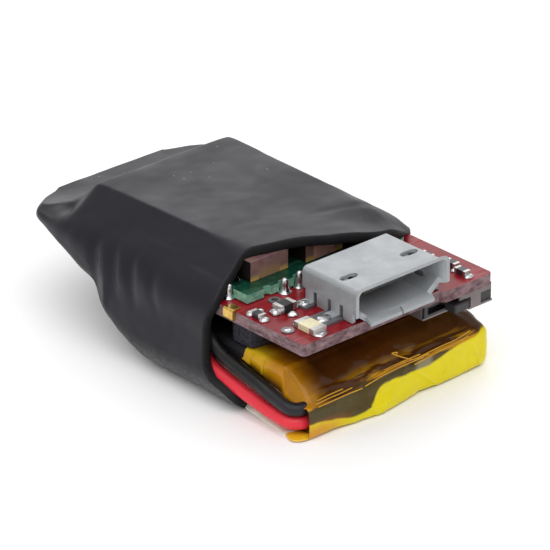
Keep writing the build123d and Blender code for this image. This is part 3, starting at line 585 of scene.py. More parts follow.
def foil_material():
    """Pouch laminate: pale film with fine crinkles, dark in its upper part under the tape."""
    s = Shader("pouch_laminate", rough=0.36, metallic=0.35)
    upper = s.zone(s.axis("Z"), 2.3, 2.7)
    s.colour(s.mix(upper, s.mottle("foil_pale", 500), s.mottle("foil_dark", 500)))
    crinkle = s.noise(700, 4, distortion=1.2)
    s.roughness(s.span(crinkle, 0.3, 0.7, 0.28, 0.5))
    s.bump(crinkle, 0.08, 0.6)
    return s.material


# ---------------- mesh helpers
SAME_POINT = 1e-7  # in metres
TINY = 1e-9
FLAT_ENOUGH, SHARP_ENOUGH = radians(1.5), radians(35.0)


def new_object(name, vertices, faces):
    """A smooth mesh object from plain lists, vertices in millimetres."""
    mesh = bpy.data.meshes.new(name)
    mesh.from_pydata([tuple(float(c) * MM for c in v) for v in vertices], [], faces)
    mesh.validate()
    mesh.update()
    for polygon in mesh.polygons:
        polygon.use_smooth = True
    return add_object(name, mesh)


def outward(thing):
    """Turns every face of a closed mesh outwards."""
    work = bmesh.new()
    work.from_mesh(thing.data)
    bmesh.ops.remove_doubles(work, verts=work.verts, dist=SAME_POINT)
    bmesh.ops.recalc_face_normals(work, faces=work.faces)
    work.to_mesh(thing.data)
    work.free()
    return thing


def grid_faces(rows, columns, closed):
    """Quads between rows of points, closed into rings if asked."""
    faces = []
    last = columns if closed else columns - 1
    for i in range(rows - 1):
        for j in range(last):
            k = (j + 1) % columns
            a, b = i * columns, (i + 1) * columns
            faces.append((a + j, a + k, b + k, b + j))
    return faces


def ring_faces(rings, count):
    """Faces of a closed body made of rings of so many points."""
    ends = [tuple(reversed(range(count))), tuple(range((rings - 1) * count, rings * count))]
    return grid_faces(rings, count, True) + ends


def apply_modifiers(thing):
    """Bakes a piece's modifiers into its mesh."""
    bpy.context.view_layer.update()
    state = bpy.context.evaluated_depsgraph_get()
    mesh = bpy.data.meshes.new_from_object(thing.evaluated_get(state))
    thing.modifiers.clear()
    thing.data = mesh
    return thing


def film_piece(name, points, columns, thickness, material, slot, *replaced, offset=-1.0):
    """A thin sheet through rows of so many points, in millimetres."""
    sheet = new_object(name, points, grid_faces(len(points) // columns, columns, False))
    solid = sheet.modifiers.new("film", "SOLIDIFY")
    solid.thickness = thickness * MM
    solid.offset = offset
    outward(apply_modifiers(sheet))
    dress(material, sheet)
    return finish_piece(sheet, slot, *replaced)


def tube(name, points, radius, steps, round_steps):
    """A closed round tube on one NURBS line. Points are x, distance back and z, in millimetres."""
    curve = bpy.data.curves.new(name, "CURVE")
    curve.dimensions = "3D"
    spline = curve.splines.new("NURBS")
    spline.points.add(len(points) - 1)
    for point, (x, setback, z) in zip(spline.points, points):
        point.co = (x * MM, (FRONT + setback) * MM, z * MM, 1.0)
    spline.order_u = 3
    spline.use_endpoint_u = True
    spline.resolution_u = steps
    curve.bevel_depth = radius * MM
    curve.bevel_resolution = round_steps
    curve.use_fill_caps = True
    return add_object(name, curve)


def finish_piece(thing, slot, *replaced):
    """Fixes a piece to the pack and hides the CAD nodes that it stands for. Its slot is not used."""
    if replaced:
        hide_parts(*replaced)
    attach(thing, "pack")
    return thing


def softened(name, node, width_mm):
    """A copy of a CAD node with its sharp edges rounded a little."""
    thing = NODES[node].copy()
    thing.data = NODES[node].data.copy()
    thing.name = name
    thing.parent = None
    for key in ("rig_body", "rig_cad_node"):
        if key in thing:
            del thing[key]
    bpy.context.scene.collection.objects.link(thing)
    work = bmesh.new()
    work.from_mesh(thing.data)
    bmesh.ops.remove_doubles(work, verts=work.verts, dist=2 * SAME_POINT)
    bmesh.ops.dissolve_limit(work, angle_limit=FLAT_ENOUGH, verts=work.verts, edges=work.edges)
    work.to_mesh(thing.data)
    work.free()
    bevel = thing.modifiers.new("round", "BEVEL")
    bevel.width = width_mm * MM
    bevel.segments = 2
    bevel.limit_method = "ANGLE"
    bevel.angle_limit = SHARP_ENOUGH
    bevel.use_clamp_overlap = True
    bevel.harden_normals = True
    for polygon in thing.data.polygons:
        polygon.use_smooth = True
    return apply_modifiers(thing)


def smoothstep(value, low, high):
    t = np.clip((np.asarray(value, float) - low) / (high - low), 0.0, 1.0)
    return t * t * (3 - 2 * t)


def graph(pairs, at):
    """Straight lines through pairs of a place and a value."""
    return np.interp(at, *zip(*pairs))


def trace(points, count, join):
    """So many points along a line through a few, joined by a function of their numbers and values."""
    keys = np.arange(len(points))
    fine = np.linspace(0, len(points) - 1, count)
    return np.column_stack([join(keys, column, fine) for column in zip(*points)])


def bell(value, centre, width):
    return np.exp(-(((np.asarray(value, float) - centre) / width) ** 2))


def wobble(points, layers):
    """Perlin noise at each point. A layer is its depth, its features in a millimetre and its seed."""
    return sum(
        depth * np.array([noise.noise(Vector(p) * per_mm + Vector((seed, seed, seed))) for p in points])
        for depth, per_mm, seed in layers
    )


def unit(vectors):
    """The same directions with length one."""
    return vectors / (norm(vectors, axis=-1, keepdims=True) + TINY)


# ---------------- heat-shrink sleeve
# Distance back, half width, bottom, shoulder height, top, half width of the flat
# top, and rounding of the bottom corner, of the shoulder and of the edge of the flat top.
SLEEVE = [
    (4.0, 9.1, 0.0, 6.9, 9.62, 5.25, 2.3, 3.4, 2.6),
    (8.4, 9.1, 0.0, 6.92, 9.65, 5.3, 2.3, 3.2, 2.2),
    (12.0, 9.1, 0.0, 6.95, 9.65, 5.35, 2.3, 3.0, 0.5),
    (14.6, 9.1, 0.02, 7.0, 9.65, 5.4, 2.3, 3.0, 0.4),
    (16.6, 9.1, 0.7, 7.0, 9.65, 5.45, 2.2, 3.0, 0.4),
    (18.4, 9.05, 2.2, 7.05, 9.65, 5.5, 1.7, 3.0, 0.4),
    (20.0, 8.95, 4.0, 7.1, 9.65, 5.55, 1.2, 2.6, 0.4),
    (21.6, 8.8, 5.0, 7.2, 9.65, 5.62, 0.8, 2.0, 0.45),
    (22.4, 8.72, 5.4, 7.2, 9.6, 5.68, 0.6, 1.7, 0.5),
    (23.2, 8.65, 5.7, 7.15, 9.1, 5.8, 0.5, 1.4, 0.8),
    (24.2, 8.45, 6.0, 7.0, 8.3, 6.1, 0.4, 1.0, 1.0),
    (25.2, 8.2, 6.2, 6.9, 7.6, 6.6, 0.3, 0.6, 0.8),
    (26.4, 7.8, 6.36, 6.84, 7.22, 7.1, 0.25, 0.4, 0.5),
    (27.2, 6.9, 6.42, 6.82, 7.12, 6.4, 0.2, 0.3, 0.4),
    (28.0, 4.9, 6.46, 6.8, 7.08, 4.6, 0.15, 0.25, 0.3),
]
# Where the cut mouth of the tubing lies: x, z and distance back, going round.
MOUTH = (
    (0.0, 0.0, 5.9), (-6.5, 0.0, 5.9), (-8.3, 0.5, 5.9), (-8.9, 1.2, 6.6), (-9.1, 2.0, 7.7),
    (-9.1, 2.9, 8.3), (-9.1, 4.4, 8.4), (-9.05, 5.9, 8.2), (-8.6, 7.3, 7.9), (-7.1, 8.5, 8.2),
    (-5.4, 9.6, 8.5), (-3.6, 9.65, 8.1), (-1.8, 9.65, 7.6), (-0.5, 9.65, 6.8), (0.8, 9.65, 6.1),
    (3.0, 9.65, 5.6), (5.2, 9.6, 5.8), (7.0, 8.4, 6.6), (8.8, 6.6, 8.0), (9.1, 4.0, 8.6),
    (9.0, 1.5, 7.6), (7.0, 0.0, 6.0),
)
SLEEVE_WALL = 0.4
ROLLED_RIM = 0.28  # how much thicker the tubing is at its cut mouth
ARC, RUN = 9, 26  # points on each rounded corner and each straight side of an outline
INSIDE_END = 22.6  # how far back the inside skin runs
TAIL_END = 28.0
OUTLINES = 481  # how many outlines are worked out from the mouth to the tail
MOUTH_OUTLINE = 7.0  # distance back of the outline that the mouth is laid on
FRONT_SHARE, FRONT_RINGS, REAR_RINGS = 0.62, 84, 64
RIM_FADE = 25.0
RIM_STEPS, RIM_ROUND = (0.85, 0.5, 0.15), 0.09
WELD_STEPS = ((0.05, 0.8), (0.09, 0.45), (0.1, 0.0))  # how far behind the tail's end, share of its height
SLEEVE_WOBBLE = ((0.035, 0.45, 0.0), (0.02, 1.1, 7.0))
SIDE = (7.6, 8.6)  # x over which the top turns into a side
RIPPLE_Z, RIPPLE_HEIGHT, RIPPLE_WIDTH = 6.2, 1.3, 0.45
SLEEVE_RIPPLES = (  # distance back, lean, depth
    (19.3, 0.15, 0.28),
    (17.4, 0.2, 0.3),
    (15.6, 0.25, 0.25),
    (13.4, 0.3, 0.12),
)
# A dent and the crease in front of it: distance back and its spread, height and its spread, depth.
SLEEVE_DENTS = (
    (19.6, 0.95, 4.5, 0.95, 0.34),
    (18.0, 0.3, 4.3, 1.2, -0.14),
)
RIGHT_SHARE, WAIST, SLUMP, TOP_CREASE, HOLLOW = 0.6, 0.12, 0.95, 0.06, 0.5


def rounded_loop(corners, radii):
    """Points round a polygon with rounded corners, always the same number of them."""
    count = len(corners)
    arcs = []
    for i in range(count):
        corner = corners[i]
        to_last, to_next = corners[i - 1] - corner, corners[(i + 1) % count] - corner
        near, far = norm(to_last), norm(to_next)
        a, b = to_last / near, to_next / far
        half = acos(np.clip(a @ b, -1, 1)) / 2
        cut = min(radii[i] / tan(half), 0.46 * min(near, far))
        radius = cut * tan(half)
        middle = (a + b) / norm(a + b)
        centre = corner + middle * radius / sin(half)
        start, end = corner + a * cut - centre, corner + b * cut - centre
        turn = acos(np.clip(start @ end / radius**2, -1, 1))
        arc = [
            centre + (sin((1 - t) * turn) * start + sin(t * turn) * end) / sin(turn)
            for t in np.linspace(0, 1, ARC)
        ]
        arcs.append(arc)
    points = []
    for i in range(count):
        points += arcs[i]
        start, end = arcs[i][-1], arcs[(i + 1) % count][0]
        points += [start + (end - start) * t for t in np.linspace(0, 1, RUN + 2)[1:-1]]
    return np.array(points)


def gentle(xs, ys, x):
    """Smooth interpolation that doesn't overshoot."""
    xs, ys, x = np.array(xs, float), np.array(ys, float), np.asarray(x, float)
    step = np.diff(xs)
    slope = np.diff(ys) / step
    tangent = np.zeros(len(xs))
    for i in range(1, len(xs) - 1):
        if slope[i - 1] * slope[i] > 0:
            tangent[i] = 2 * slope[i - 1] * slope[i] / (slope[i - 1] + slope[i])
    x = np.clip(x, xs[0], xs[-1])
    i = np.clip(np.searchsorted(xs, x, side="right") - 1, 0, len(xs) - 2)
    t = (x - xs[i]) / step[i]
    return (
        (2 * t**3 - 3 * t**2 + 1) * ys[i]
        + (t**3 - 2 * t**2 + t) * step[i] * tangent[i]
        + (-2 * t**3 + 3 * t**2) * ys[i + 1]
        + (t**3 - t**2) * step[i] * tangent[i + 1]
    )


def sleeve_loop(setback):
    """The sleeve's outline at one distance behind the board's front edge."""
    keys = [row[0] for row in SLEEVE]
    half, low, shoulder, high, flat, r_low, r_side, r_top = (
        float(gentle(keys, [row[k] for row in SLEEVE], setback)) for k in range(1, 9)
    )
    corners = [(half, low), (half, shoulder), (flat, high)]
    corners += [(-x, z) for x, z in reversed(corners)]
    corners = [np.array(c) for c in corners]
    return rounded_loop(corners, [r_low, r_side, r_top, r_top, r_side, r_low])


def mouth_line(loop):
    """How far back the mouth lies at each point of the sleeve's outline."""
    steps = norm(np.diff(np.vstack([loop, loop[:1]]), axis=0), axis=1)
    along = np.concatenate([[0], np.cumsum(steps)])
    total = along[-1]
    marks = []
    for x, z, setback in MOUTH:
        nearest = int(np.argmin(norm(loop - np.array([x, z]), axis=1)))
        marks.append((along[nearest], setback))
    marks.sort()
    places = np.array([m[0] for m in marks])
    values = np.array([m[1] for m in marks])
    places = np.concatenate([places[-3:] - total, places, places[:3] + total])
    values = np.concatenate([values[-3:], values, values[:3]])
    return gentle(places, values, along[:-1])


def sleeve_relief(points):
    """Shifts of the sleeve's skin: ripples, slumps and the shapes of what it covers."""
    x, s, z = points[:, 0], points[:, 1] - FRONT, points[:, 2]
    shift = np.zeros_like(points)
    # Soft upright ripples and a dent on the sides, where the skin gathers before the tail.
    wave = np.zeros(len(x))
    for centre, lean, depth in SLEEVE_RIPPLES:
        ripple = bell(s - lean * (z - RIPPLE_Z), centre, RIPPLE_WIDTH) * bell(z, RIPPLE_Z, RIPPLE_HEIGHT)
        wave += depth * ripple
    for back, length, up, height, depth in SLEEVE_DENTS:
        wave += depth * bell(s, back, length) * bell(z, up, height)
    shift[:, 0] += wave * (smoothstep(-x, *SIDE) - smoothstep(x, *SIDE) * RIGHT_SHARE)
    # The skin sinks between the cell and the board.
    waist = bell(z, 4.7, 1.2) * smoothstep(s, 20.0, 14.0)
    shift[:, 0] -= WAIST * waist * np.sign(x) * smoothstep(np.abs(x), *SIDE)
    # The flat top slumps at its front right corner.
    slump = smoothstep(x, 0.5, 6.0) * smoothstep(s, 9.2, 5.6) * smoothstep(z, 6.0, 8.5)
    shift[:, 2] -= SLUMP * slump
    crease = bell(s + 0.25 * x, 9.9, 0.35) * smoothstep(x, 0.5, 3.0) * smoothstep(z, 8.5, 9.4)
    shift[:, 2] -= TOP_CREASE * crease
    # Hollow behind the rear corners of the flat top.
    for side in (-1, 1):
        hollow = bell(x * side, 6.7, 1.2) * bell(s, 23.9, 1.0) * smoothstep(z, 7.2, 8.1)
        shift[:, 2] -= HOLLOW * hollow
    return shift


def build_sleeve():
    """Tubing with a thick cut mouth, soft ripples and a flat welded tail."""
    table_s = np.linspace(SLEEVE[0][0], TAIL_END, OUTLINES)
    table = np.array([sleeve_loop(s) for s in table_s])
    count = table.shape[1]
    mouth = mouth_line(table[np.searchsorted(table_s, MOUTH_OUTLINE)])

    def ring(setbacks):
        """Points at each outline index, each at its own distance back."""
        index = np.clip((setbacks - table_s[0]) / (table_s[1] - table_s[0]), 0, len(table_s) - 1.001)
        low = index.astype(int)
        part = (index - low)[:, None]
        ids = np.arange(count)
        flat = table[low, ids] * (1 - part) + table[low + 1, ids] * part
        return np.column_stack([flat[:, 0], setbacks + FRONT, flat[:, 1]])

    near, far = np.linspace(0, FRONT_SHARE, FRONT_RINGS), np.linspace(FRONT_SHARE, 1.0, REAR_RINGS)
    steps = np.concatenate([near, far[1:]])
    outer = np.array([ring(mouth + (TAIL_END - mouth) * t) for t in steps])
    flat = outer.reshape(-1, 3)
    flat += sleeve_relief(flat)
    uneven = wobble(flat, SLEEVE_WOBBLE)
    outer = flat.reshape(outer.shape)
    around = np.roll(outer, -1, axis=1) - np.roll(outer, 1, axis=1)
    along = np.gradient(outer, axis=0)
    normal = unit(np.cross(around, along))
    if (normal[10, :, 0] * outer[10, :, 0]).sum() < 0:
        normal = -normal
    outer = outer + normal * uneven.reshape(outer.shape[:2])[:, :, None]
    outer[:, :, 2] = np.maximum(outer[:, :, 2], 0.0)
    # The rounded cut edge and the inside.
    inside_rows = [i for i in range(len(steps)) if outer[i, :, 1].max() < FRONT + INSIDE_END]
    walls = SLEEVE_WALL + ROLLED_RIM * np.exp(-steps * RIM_FADE)
    inner = (outer - normal * walls[:, None, None])[inside_rows]
    first, inward = outer[0], normal[0]
    forward = unit(outer[0] - outer[1])
    lip = [
        first - inward * (SLEEVE_WALL + ROLLED_RIM) * t + forward * RIM_ROUND * sqrt(sin(pi * t))
        for t in RIM_STEPS
    ]
    stack = list(inner[::-1]) + lip + list(outer)
    # Rings that close the weld at the tail's end, and one that closes the inside.
    end = outer[-1]
    middle = (end[:, 2].max() + end[:, 2].min()) / 2
    for back, keep in WELD_STEPS:
        closing = end.copy()
        closing[:, 1] += back
        closing[:, 2] = middle + (end[:, 2] - middle) * keep
        stack.append(closing)
    deep = inner[-1].copy()
    deep[:, 2] = (deep[:, 2].max() + deep[:, 2].min()) / 2
    stack.insert(0, deep)
    points = np.concatenate(stack)
    sleeve = new_object("sleeve_tubing", points, grid_faces(len(stack), count, True))
    dress(sleeve_material(), sleeve)
    sleeve.data.materials.append(cut_rim_material())
    rim_rows = 1 + len(inner) + len(lip)
    for index, polygon in enumerate(sleeve.data.polygons):
        polygon.material_index = 1 if index // count < rim_rows else 0
    outward(sleeve)
    return finish_piece(sleeve, "sleeve", "heat_shrink_sleeve")


# ---------------- polyimide tape
TAPE_LEFT, TAPE_RIGHT = -7.45, 8.6
TAPE_FILM = 0.06
TAPE_COLUMNS, TAPE_ROWS = 170, 130
TAPE_CROWDING = 0.95  # share of a quarter turn, which brings columns closer together towards the right end
RIGHT_END_Z, RIGHT_CORNER, CORNER_POWER = 1.75, 1.1, 2.6  # where and how roundly the right end closes
CELL_TOP, CELL_ROUND, CELL_ROUND_X = 4.0, 0.45, -6.86
GAP_OVER_CELL, GAP_BESIDE_CELL, GAP_TO_FLOOR = 0.16, 0.07, 0.03
OVER_FROM, OVER_ABOVE, BESIDE_FROM = 2.6, 2.0, 2.9  # distances back and a height where those gaps hold
PULL_BEHIND, PULL = 2.2, 0.9  # the front draws back at the right end, up to this distance back
# Pairs of x and a value along the tape.
CREASE = (
    (-7.4, 2.1), (-6.5, 2.06), (-4.1, 2.12), (-2.6, 2.15), (-1.1, 2.45),
    (1.9, 2.42), (2.7, 2.55), (6.1, 2.5), (7.4, 2.75), (8.6, 2.85),
)
FOOT_REACH = (  # how far the foot bulges forward
    (-7.45, 0.0), (-5.9, 0.05), (-3.9, 0.3), (-1.5, 0.55), (0.5, 0.28),
    (2.1, 0.0), (3.6, 0.1), (6.7, 0.0), (8.6, 0.0),
)
TAPE_TOP = ((-7.45, 3.8), (-6.4, 4.06), (-4.5, 4.12), (6.5, 4.14), (8.0, 3.85))
TAPE_REAR = ((-7.45, 6.4), (-5.5, 6.1), (-3.0, 5.6), (8.6, 5.5))
# The free left edge hangs down beside the cell: distance back and height.
FREE_EDGE = ((0.3, 2.15), (1.15, 1.98), (2.4, 2.25), (3.5, 2.72), (4.6, 2.92), (5.7, 3.05), (6.4, 3.4))


def tape_profile(x):
    """Side outline of the wrap at one x, from its rear edge on top round the front to the bottom rear."""
    crease, top, reach, rear = (float(graph(line, x)) for line in (CREASE, TAPE_TOP, FOOT_REACH, TAPE_REAR))
    hang = float(smoothstep(-x, 6.75, 7.45))
    crown = [(rear, top), (4.2, top + 0.04), (3.1, top - 0.02), (1.8, crease + (top - crease) * 0.68)]
    crown += [(0.85, crease + (top - crease) * 0.27), (0.32, crease + 0.02)]
    crown = [(s, z + (float(graph(FREE_EDGE, s)) - z) * hang) for s, z in crown]
    lower = [
        (0.1, crease - 0.3 - 0.1 * hang),
        (0.06 - reach * 0.35, 1.25),
        (0.05 - reach * 0.85, 0.6),
        (0.12 - reach, 0.2),
        (0.5 - reach * 0.6, 0.05),
        (3.0, 0.08),
        (5.6, 0.12),
    ]
    return np.array([(FRONT + s, z) for s, z in crown + lower])


TAPE_FOLDS = (  # height over the crease, from x, to x, depth of the raised line
    (0.0, -6.6, 6.2, 0.15),
    (0.3, -6.4, -1.0, 0.1),
    (0.52, -5.9, -2.2, 0.08),
    (-0.22, 2.0, 6.4, 0.1),
    (0.24, 0.8, 5.4, 0.09),
)
SLACK_Z, SLACK_WIDTH = 1.2, 0.18
TAPE_SLACK = (  # at x, lean, reach, depth of a soft fold across the front face
    (-5.4, 0.5, 1.0, 0.06),
    (-2.9, -0.9, 1.2, 0.1),
    (-0.4, 1.2, 1.1, 0.08),
    (2.4, -1.2, 1.3, 0.1),
    (4.9, 0.8, 1.2, 0.07),
    (7.2, -0.5, 1.2, 0.06),
)
TOP_FOLDS = ((0.5, -4.2, 0.3, 0.07), (-0.7, 3.1, 0.35, 0.06))  # lean, x, width and depth on the top
FOLD_WIDTH = 0.075
TAPE_WOBBLE = ((0.07, 0.55, 3.0), (0.035, 1.7, 9.0))


def tape_relief(x, s, z):
    """How far the film stands off its smooth shape: fold lines at the crease and slack folds."""
    lift = np.zeros(len(x))
    crease = graph(CREASE, x)
    near_front = smoothstep(s, 1.9, 1.2) * smoothstep(x, -7.2, -6.3) * smoothstep(x, 7.4, 6.4)
    for offset, start, end, depth in TAPE_FOLDS:
        line = crease + offset + 0.05 * np.sin(x * 1.7 + offset * 9)
        present = smoothstep(x, start - 0.4, start + 0.3) * smoothstep(x, end + 0.4, end - 0.3)
        lift += depth * bell(z, line, FOLD_WIDTH) * present * near_front
    for at_x, lean, reach, depth in TAPE_SLACK:
        fold = bell(x - lean * (z - SLACK_Z), at_x, SLACK_WIDTH) * bell(z, SLACK_Z, reach)
        lift += depth * fold * smoothstep(s, 0.9, 0.4)
    on_top = smoothstep(s, 0.6, 1.6) * smoothstep(z, 2.0, 2.6)
    for lean, at_x, width, depth in TOP_FOLDS:
        lift += depth * bell(x + lean * s, at_x, width) * on_top
    return lift


def build_tape():
    """Film wrapped round the protection board and the cell's front, crumpled along its front crease."""
    quarter = pi / 2
    turn = np.sin(np.linspace(0, TAPE_CROWDING, TAPE_COLUMNS) * quarter) / sin(TAPE_CROWDING * quarter)
    xs = TAPE_LEFT + (TAPE_RIGHT - TAPE_LEFT) * turn
    grid = np.zeros((TAPE_COLUMNS, TAPE_ROWS, 3))
    for i, x in enumerate(xs):
        outline = tape_profile(x)
        length = np.concatenate([[0], np.cumsum(norm(np.diff(outline, axis=0), axis=1))])
        even = np.linspace(0, length[-1], TAPE_ROWS)
        y, z = gentle(length, outline[:, 0], even), gentle(length, outline[:, 1], even)
        t = min(1.0, max(0.0, (x - (TAPE_RIGHT - RIGHT_CORNER)) / RIGHT_CORNER))
        keep = (1 - t**CORNER_POWER) ** (1 / CORNER_POWER)
        z = RIGHT_END_Z + (z - RIGHT_END_Z) * keep
        front_pull = smoothstep(FRONT - y, -PULL_BEHIND, 0.0) * RIGHT_CORNER * (1 - keep) * PULL
        grid[i] = np.column_stack([np.full(TAPE_ROWS, x), y + front_pull, z])
    flat = grid.reshape(-1, 3)
    normal = unit(np.cross(np.gradient(grid, axis=1), np.gradient(grid, axis=0)).reshape(-1, 3))
    if normal[np.argmin(flat[:, 1])][1] > 0:
        normal = -normal
    lift = wobble(flat, TAPE_WOBBLE) + tape_relief(flat[:, 0], flat[:, 1] - FRONT, flat[:, 2])
    flat = flat + normal * lift[:, None]
    # The film stays outside the cell, which has rounded upper edges.
    cell_side = CELL_ROUND_X - CELL_ROUND
    round_off = np.clip(CELL_ROUND_X - flat[:, 0], 0.0, CELL_ROUND)
    cell_top = CELL_TOP - CELL_ROUND + np.sqrt(CELL_ROUND**2 - round_off**2)
    over = (flat[:, 1] > FRONT + OVER_FROM) & (flat[:, 2] > OVER_ABOVE) & (flat[:, 0] > cell_side)
    flat[over, 2] = np.maximum(flat[over, 2], cell_top[over] + GAP_OVER_CELL)
    beside = (flat[:, 1] > FRONT + BESIDE_FROM) & (flat[:, 0] < cell_side + 0.02)
    flat[beside, 0] = np.minimum(flat[beside, 0], cell_side - GAP_BESIDE_CELL)
    flat[:, 2] = np.maximum(flat[:, 2], GAP_TO_FLOOR)
    return film_piece(
        "polyimide_wrap", flat, TAPE_ROWS, TAPE_FILM, tape_material(), "polyimide", "polyimide_tape"
    )


FOLD_STEPS = (10, 3)  # along and round
FOLD_RADIUS, FOLD_LEAD = 0.045, 0.04  # and how far each roll stands in front of its points
FOLD_ROLLS = (  # x, setback and height over the crease of a few points along each roll
    ((-6.6, 0.22, 0.0), (-5.2, 0.17, 0.03), (-4.0, 0.14, 0.05), (-2.9, 0.16, -0.02)),
    ((-6.7, 0.36, 0.16), (-5.6, 0.36, 0.2), (-4.6, 0.32, 0.19), (-3.6, 0.34, 0.22)),
    ((-6.5, 0.46, 0.3), (-5.5, 0.5, 0.36), (-4.3, 0.46, 0.34)),
    ((-2.6, 0.2, 0.0), (-1.2, 0.13, 0.04), (0.6, 0.12, 0.12), (2.4, 0.12, 0.06)),
    ((-1.6, 0.22, 0.14), (0.2, 0.2, 0.3), (1.9, 0.18, 0.2), (2.9, 0.16, 0.06)),
    ((-0.9, 0.26, 0.24), (0.6, 0.26, 0.36), (2.2, 0.24, 0.3)),
    ((1.6, 0.08, -0.12), (3.6, 0.1, -0.02), (5.4, 0.14, 0.02), (6.5, 0.22, 0.05)),
    ((2.2, 0.2, 0.16), (4.0, 0.24, 0.2), (5.6, 0.26, 0.18), (6.8, 0.4, 0.22)),
    (
        (1.5, 0.2, 0.22), (0.9, 0.34, 0.5), (0.1, 0.5, 0.95),
        (-0.1, 0.46, 1.12), (0.5, 0.42, 1.02), (0.35, 0.5, 0.85),
    ),
)


def build_folds():
    """Gold lines where the film is pinched together along its front crease, and one loose curl."""
    gold = fold_material()
    for index, roll in enumerate(FOLD_ROLLS):
        points = [(x, setback - FOLD_LEAD, float(graph(CREASE, x)) + over) for x, setback, over in roll]
        piece = tube(f"tape_fold_{index}", points, FOLD_RADIUS, *FOLD_STEPS)
        dress(gold, piece)
        finish_piece(piece, "polyimide")


LIP_OUTER = ((-7.0, 2.2), (-7.6, 2.05), (-8.1, 1.5), (-8.36, 0.8), (-8.1, 0.35), (-7.5, 0.18), (-6.8, 0.2))
LIP_INNER = ((-6.9, 2.1), (-6.95, 1.7), (-7.0, 1.3), (-7.0, 1.0), (-7.0, 0.8), (-6.95, 0.6), (-6.8, 0.5))
LIP_FOOT, LIP_BULGE, LIP_RISE = 0.05, 0.544, 0.08
LIP_ACROSS, LIP_ALONG = 12, 40
LIP_FILM = 0.05


def build_tape_lip():
    """The rounded corner of the film that lies on the ground under the leads."""
    outer, inner = (trace(edge, LIP_ALONG, gentle) for edge in (LIP_OUTER, LIP_INNER))
    points = []
    for t in np.linspace(0, 1, LIP_ACROSS):
        z = LIP_FOOT + LIP_BULGE * t * (1 - t) + LIP_RISE * (1 - t)
        points += [(x, FRONT + setback, z) for x, setback in inner + (outer - inner) * t]
    return film_piece("tape_lip", points, LIP_ALONG, LIP_FILM, lip_material(), "polyimide")


SEAM_ROWS = (  # distance back, outer x, outer z, inner z
    (1.3, -8.0, 0.06, 0.3),
    (1.9, -8.12, 0.06, 0.36),
    (3.0, -8.0, 0.07, 0.42),
    (4.4, -7.86, 0.08, 0.46),
    (5.6, -7.7, 0.14, 0.5),
    (6.6, -7.5, 0.5, 0.6),
    (8.0, -7.35, 0.75, 0.8),
)
SEAM_INNER_X, SEAM_BOW, SEAM_WAVE, SEAM_WAVES = -7.2, 0.12, 0.03, 3.1
SEAM_ACROSS, SEAM_ALONG = 9, 60
SEAM_FILM = 0.09


def build_seam():
    """The pouch's lower seam: a pale laminate strip that shows under the leads."""
    setbacks = np.linspace(SEAM_ROWS[0][0], SEAM_ROWS[-1][0], SEAM_ALONG)
    columns = list(zip(*SEAM_ROWS))
    outer_x, outer_z, inner_z = (gentle(columns[0], column, setbacks) for column in columns[1:])
    points = []
    for t in np.linspace(0, 1, SEAM_ACROSS):
        x = SEAM_INNER_X + (outer_x - SEAM_INNER_X) * t + SEAM_WAVE * np.sin(setbacks * SEAM_WAVES) * t
        z = inner_z + (outer_z - inner_z) * t + SEAM_BOW * sin(pi * t)
        points += list(zip(x, FRONT + setbacks, z))
    return film_piece("pouch_seam_strip", points, SEAM_ALONG, SEAM_FILM, foil_material(), "pouch_foil")


STRIP_LINE = ((-3.0, 4.07), (-6.4, 4.07), (-6.95, 3.98), (-7.24, 3.68), (-7.28, 3.3), (-7.28, 2.72))
STRIP_START, STRIP_END = 6.0, 14.6
STRIP_ACROSS, STRIP_ALONG = 46, 50
STRIP_FILM, STRIP_WOBBLE = 0.05, ((0.03, 0.9, 5.0),)


def build_strip():
    """Dark insulation strip over the cell's upper left edge, behind the tape."""
    setbacks = np.linspace(STRIP_START, STRIP_END, STRIP_ALONG)
    line = trace(STRIP_LINE, STRIP_ACROSS, lambda keys, values, at: np.interp(at, keys, values))
    points = [(x, FRONT + setback, z) for x, z in line for setback in setbacks]
    ripple = np.maximum(wobble(points, STRIP_WOBBLE), 0.0)
    points = [(x - rise, y, z + rise) for (x, y, z), rise in zip(points, ripple)]
    dark = plain_material("insulation_dark", 0.6, 900, 0.03)
    return film_piece("insulation_strip", points, STRIP_ALONG, STRIP_FILM, dark, "foam", offset=0.0)


# ---------------- foam
FOAM_ROWS, FOAM_AROUND = 60, 40
FOAM_POWER = 0.22  # 1 gives an oval section, 0 a box
FOAM_FORE = (7.4, 8.2)  # distances back between which its left edge steps in
FOAM_NOTCH = 4.2  # by how much
FOAM_SIDES, FOAM_END_SIDES = 0.99, 0.985  # share of the full width, along the pad and at its ends
FOAM_END_ROWS, FOAM_END_SHARE = 3.0, 0.12


def build_foam():
    """Foam pad with rounded edges between the cell and the board."""
    low, high = (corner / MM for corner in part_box("foam_pad"))
    middle_z, half_z = (low.z + high.z) / 2, (high.z - low.z) / 2
    points = []
    for i in range(FOAM_ROWS):
        y = low.y + (high.y - low.y) * i / (FOAM_ROWS - 1)
        left = low.x + FOAM_NOTCH * float(smoothstep(y - FRONT, *FOAM_FORE))
        middle, half = (left + high.x) / 2, (high.x - left) / 2
        inward = min(min(i, FOAM_ROWS - 1 - i) / FOAM_END_ROWS, 1.0)
        keep = sqrt(1 - (1 - inward) ** 2) * FOAM_END_SHARE + 1 - FOAM_END_SHARE
        half *= FOAM_SIDES if keep > FOAM_SIDES else FOAM_END_SIDES
        for k in range(FOAM_AROUND):
            angle = 2 * pi * k / FOAM_AROUND
            circle = cos(angle), sin(angle)
            across, up = (copysign(abs(side) ** FOAM_POWER, side) for side in circle)
            points.append((middle + half * across, y, middle_z + half_z * up * keep))
    foam = outward(new_object("foam_cushion", points, ring_faces(FOAM_ROWS, FOAM_AROUND)))
    dress(foam_material(), foam)
    finish_piece(foam, "foam", "foam_pad")
    return foam


# ---------------- leads
LEAD_RADIUS, LEAD_STEPS = 0.45, (24, 10)
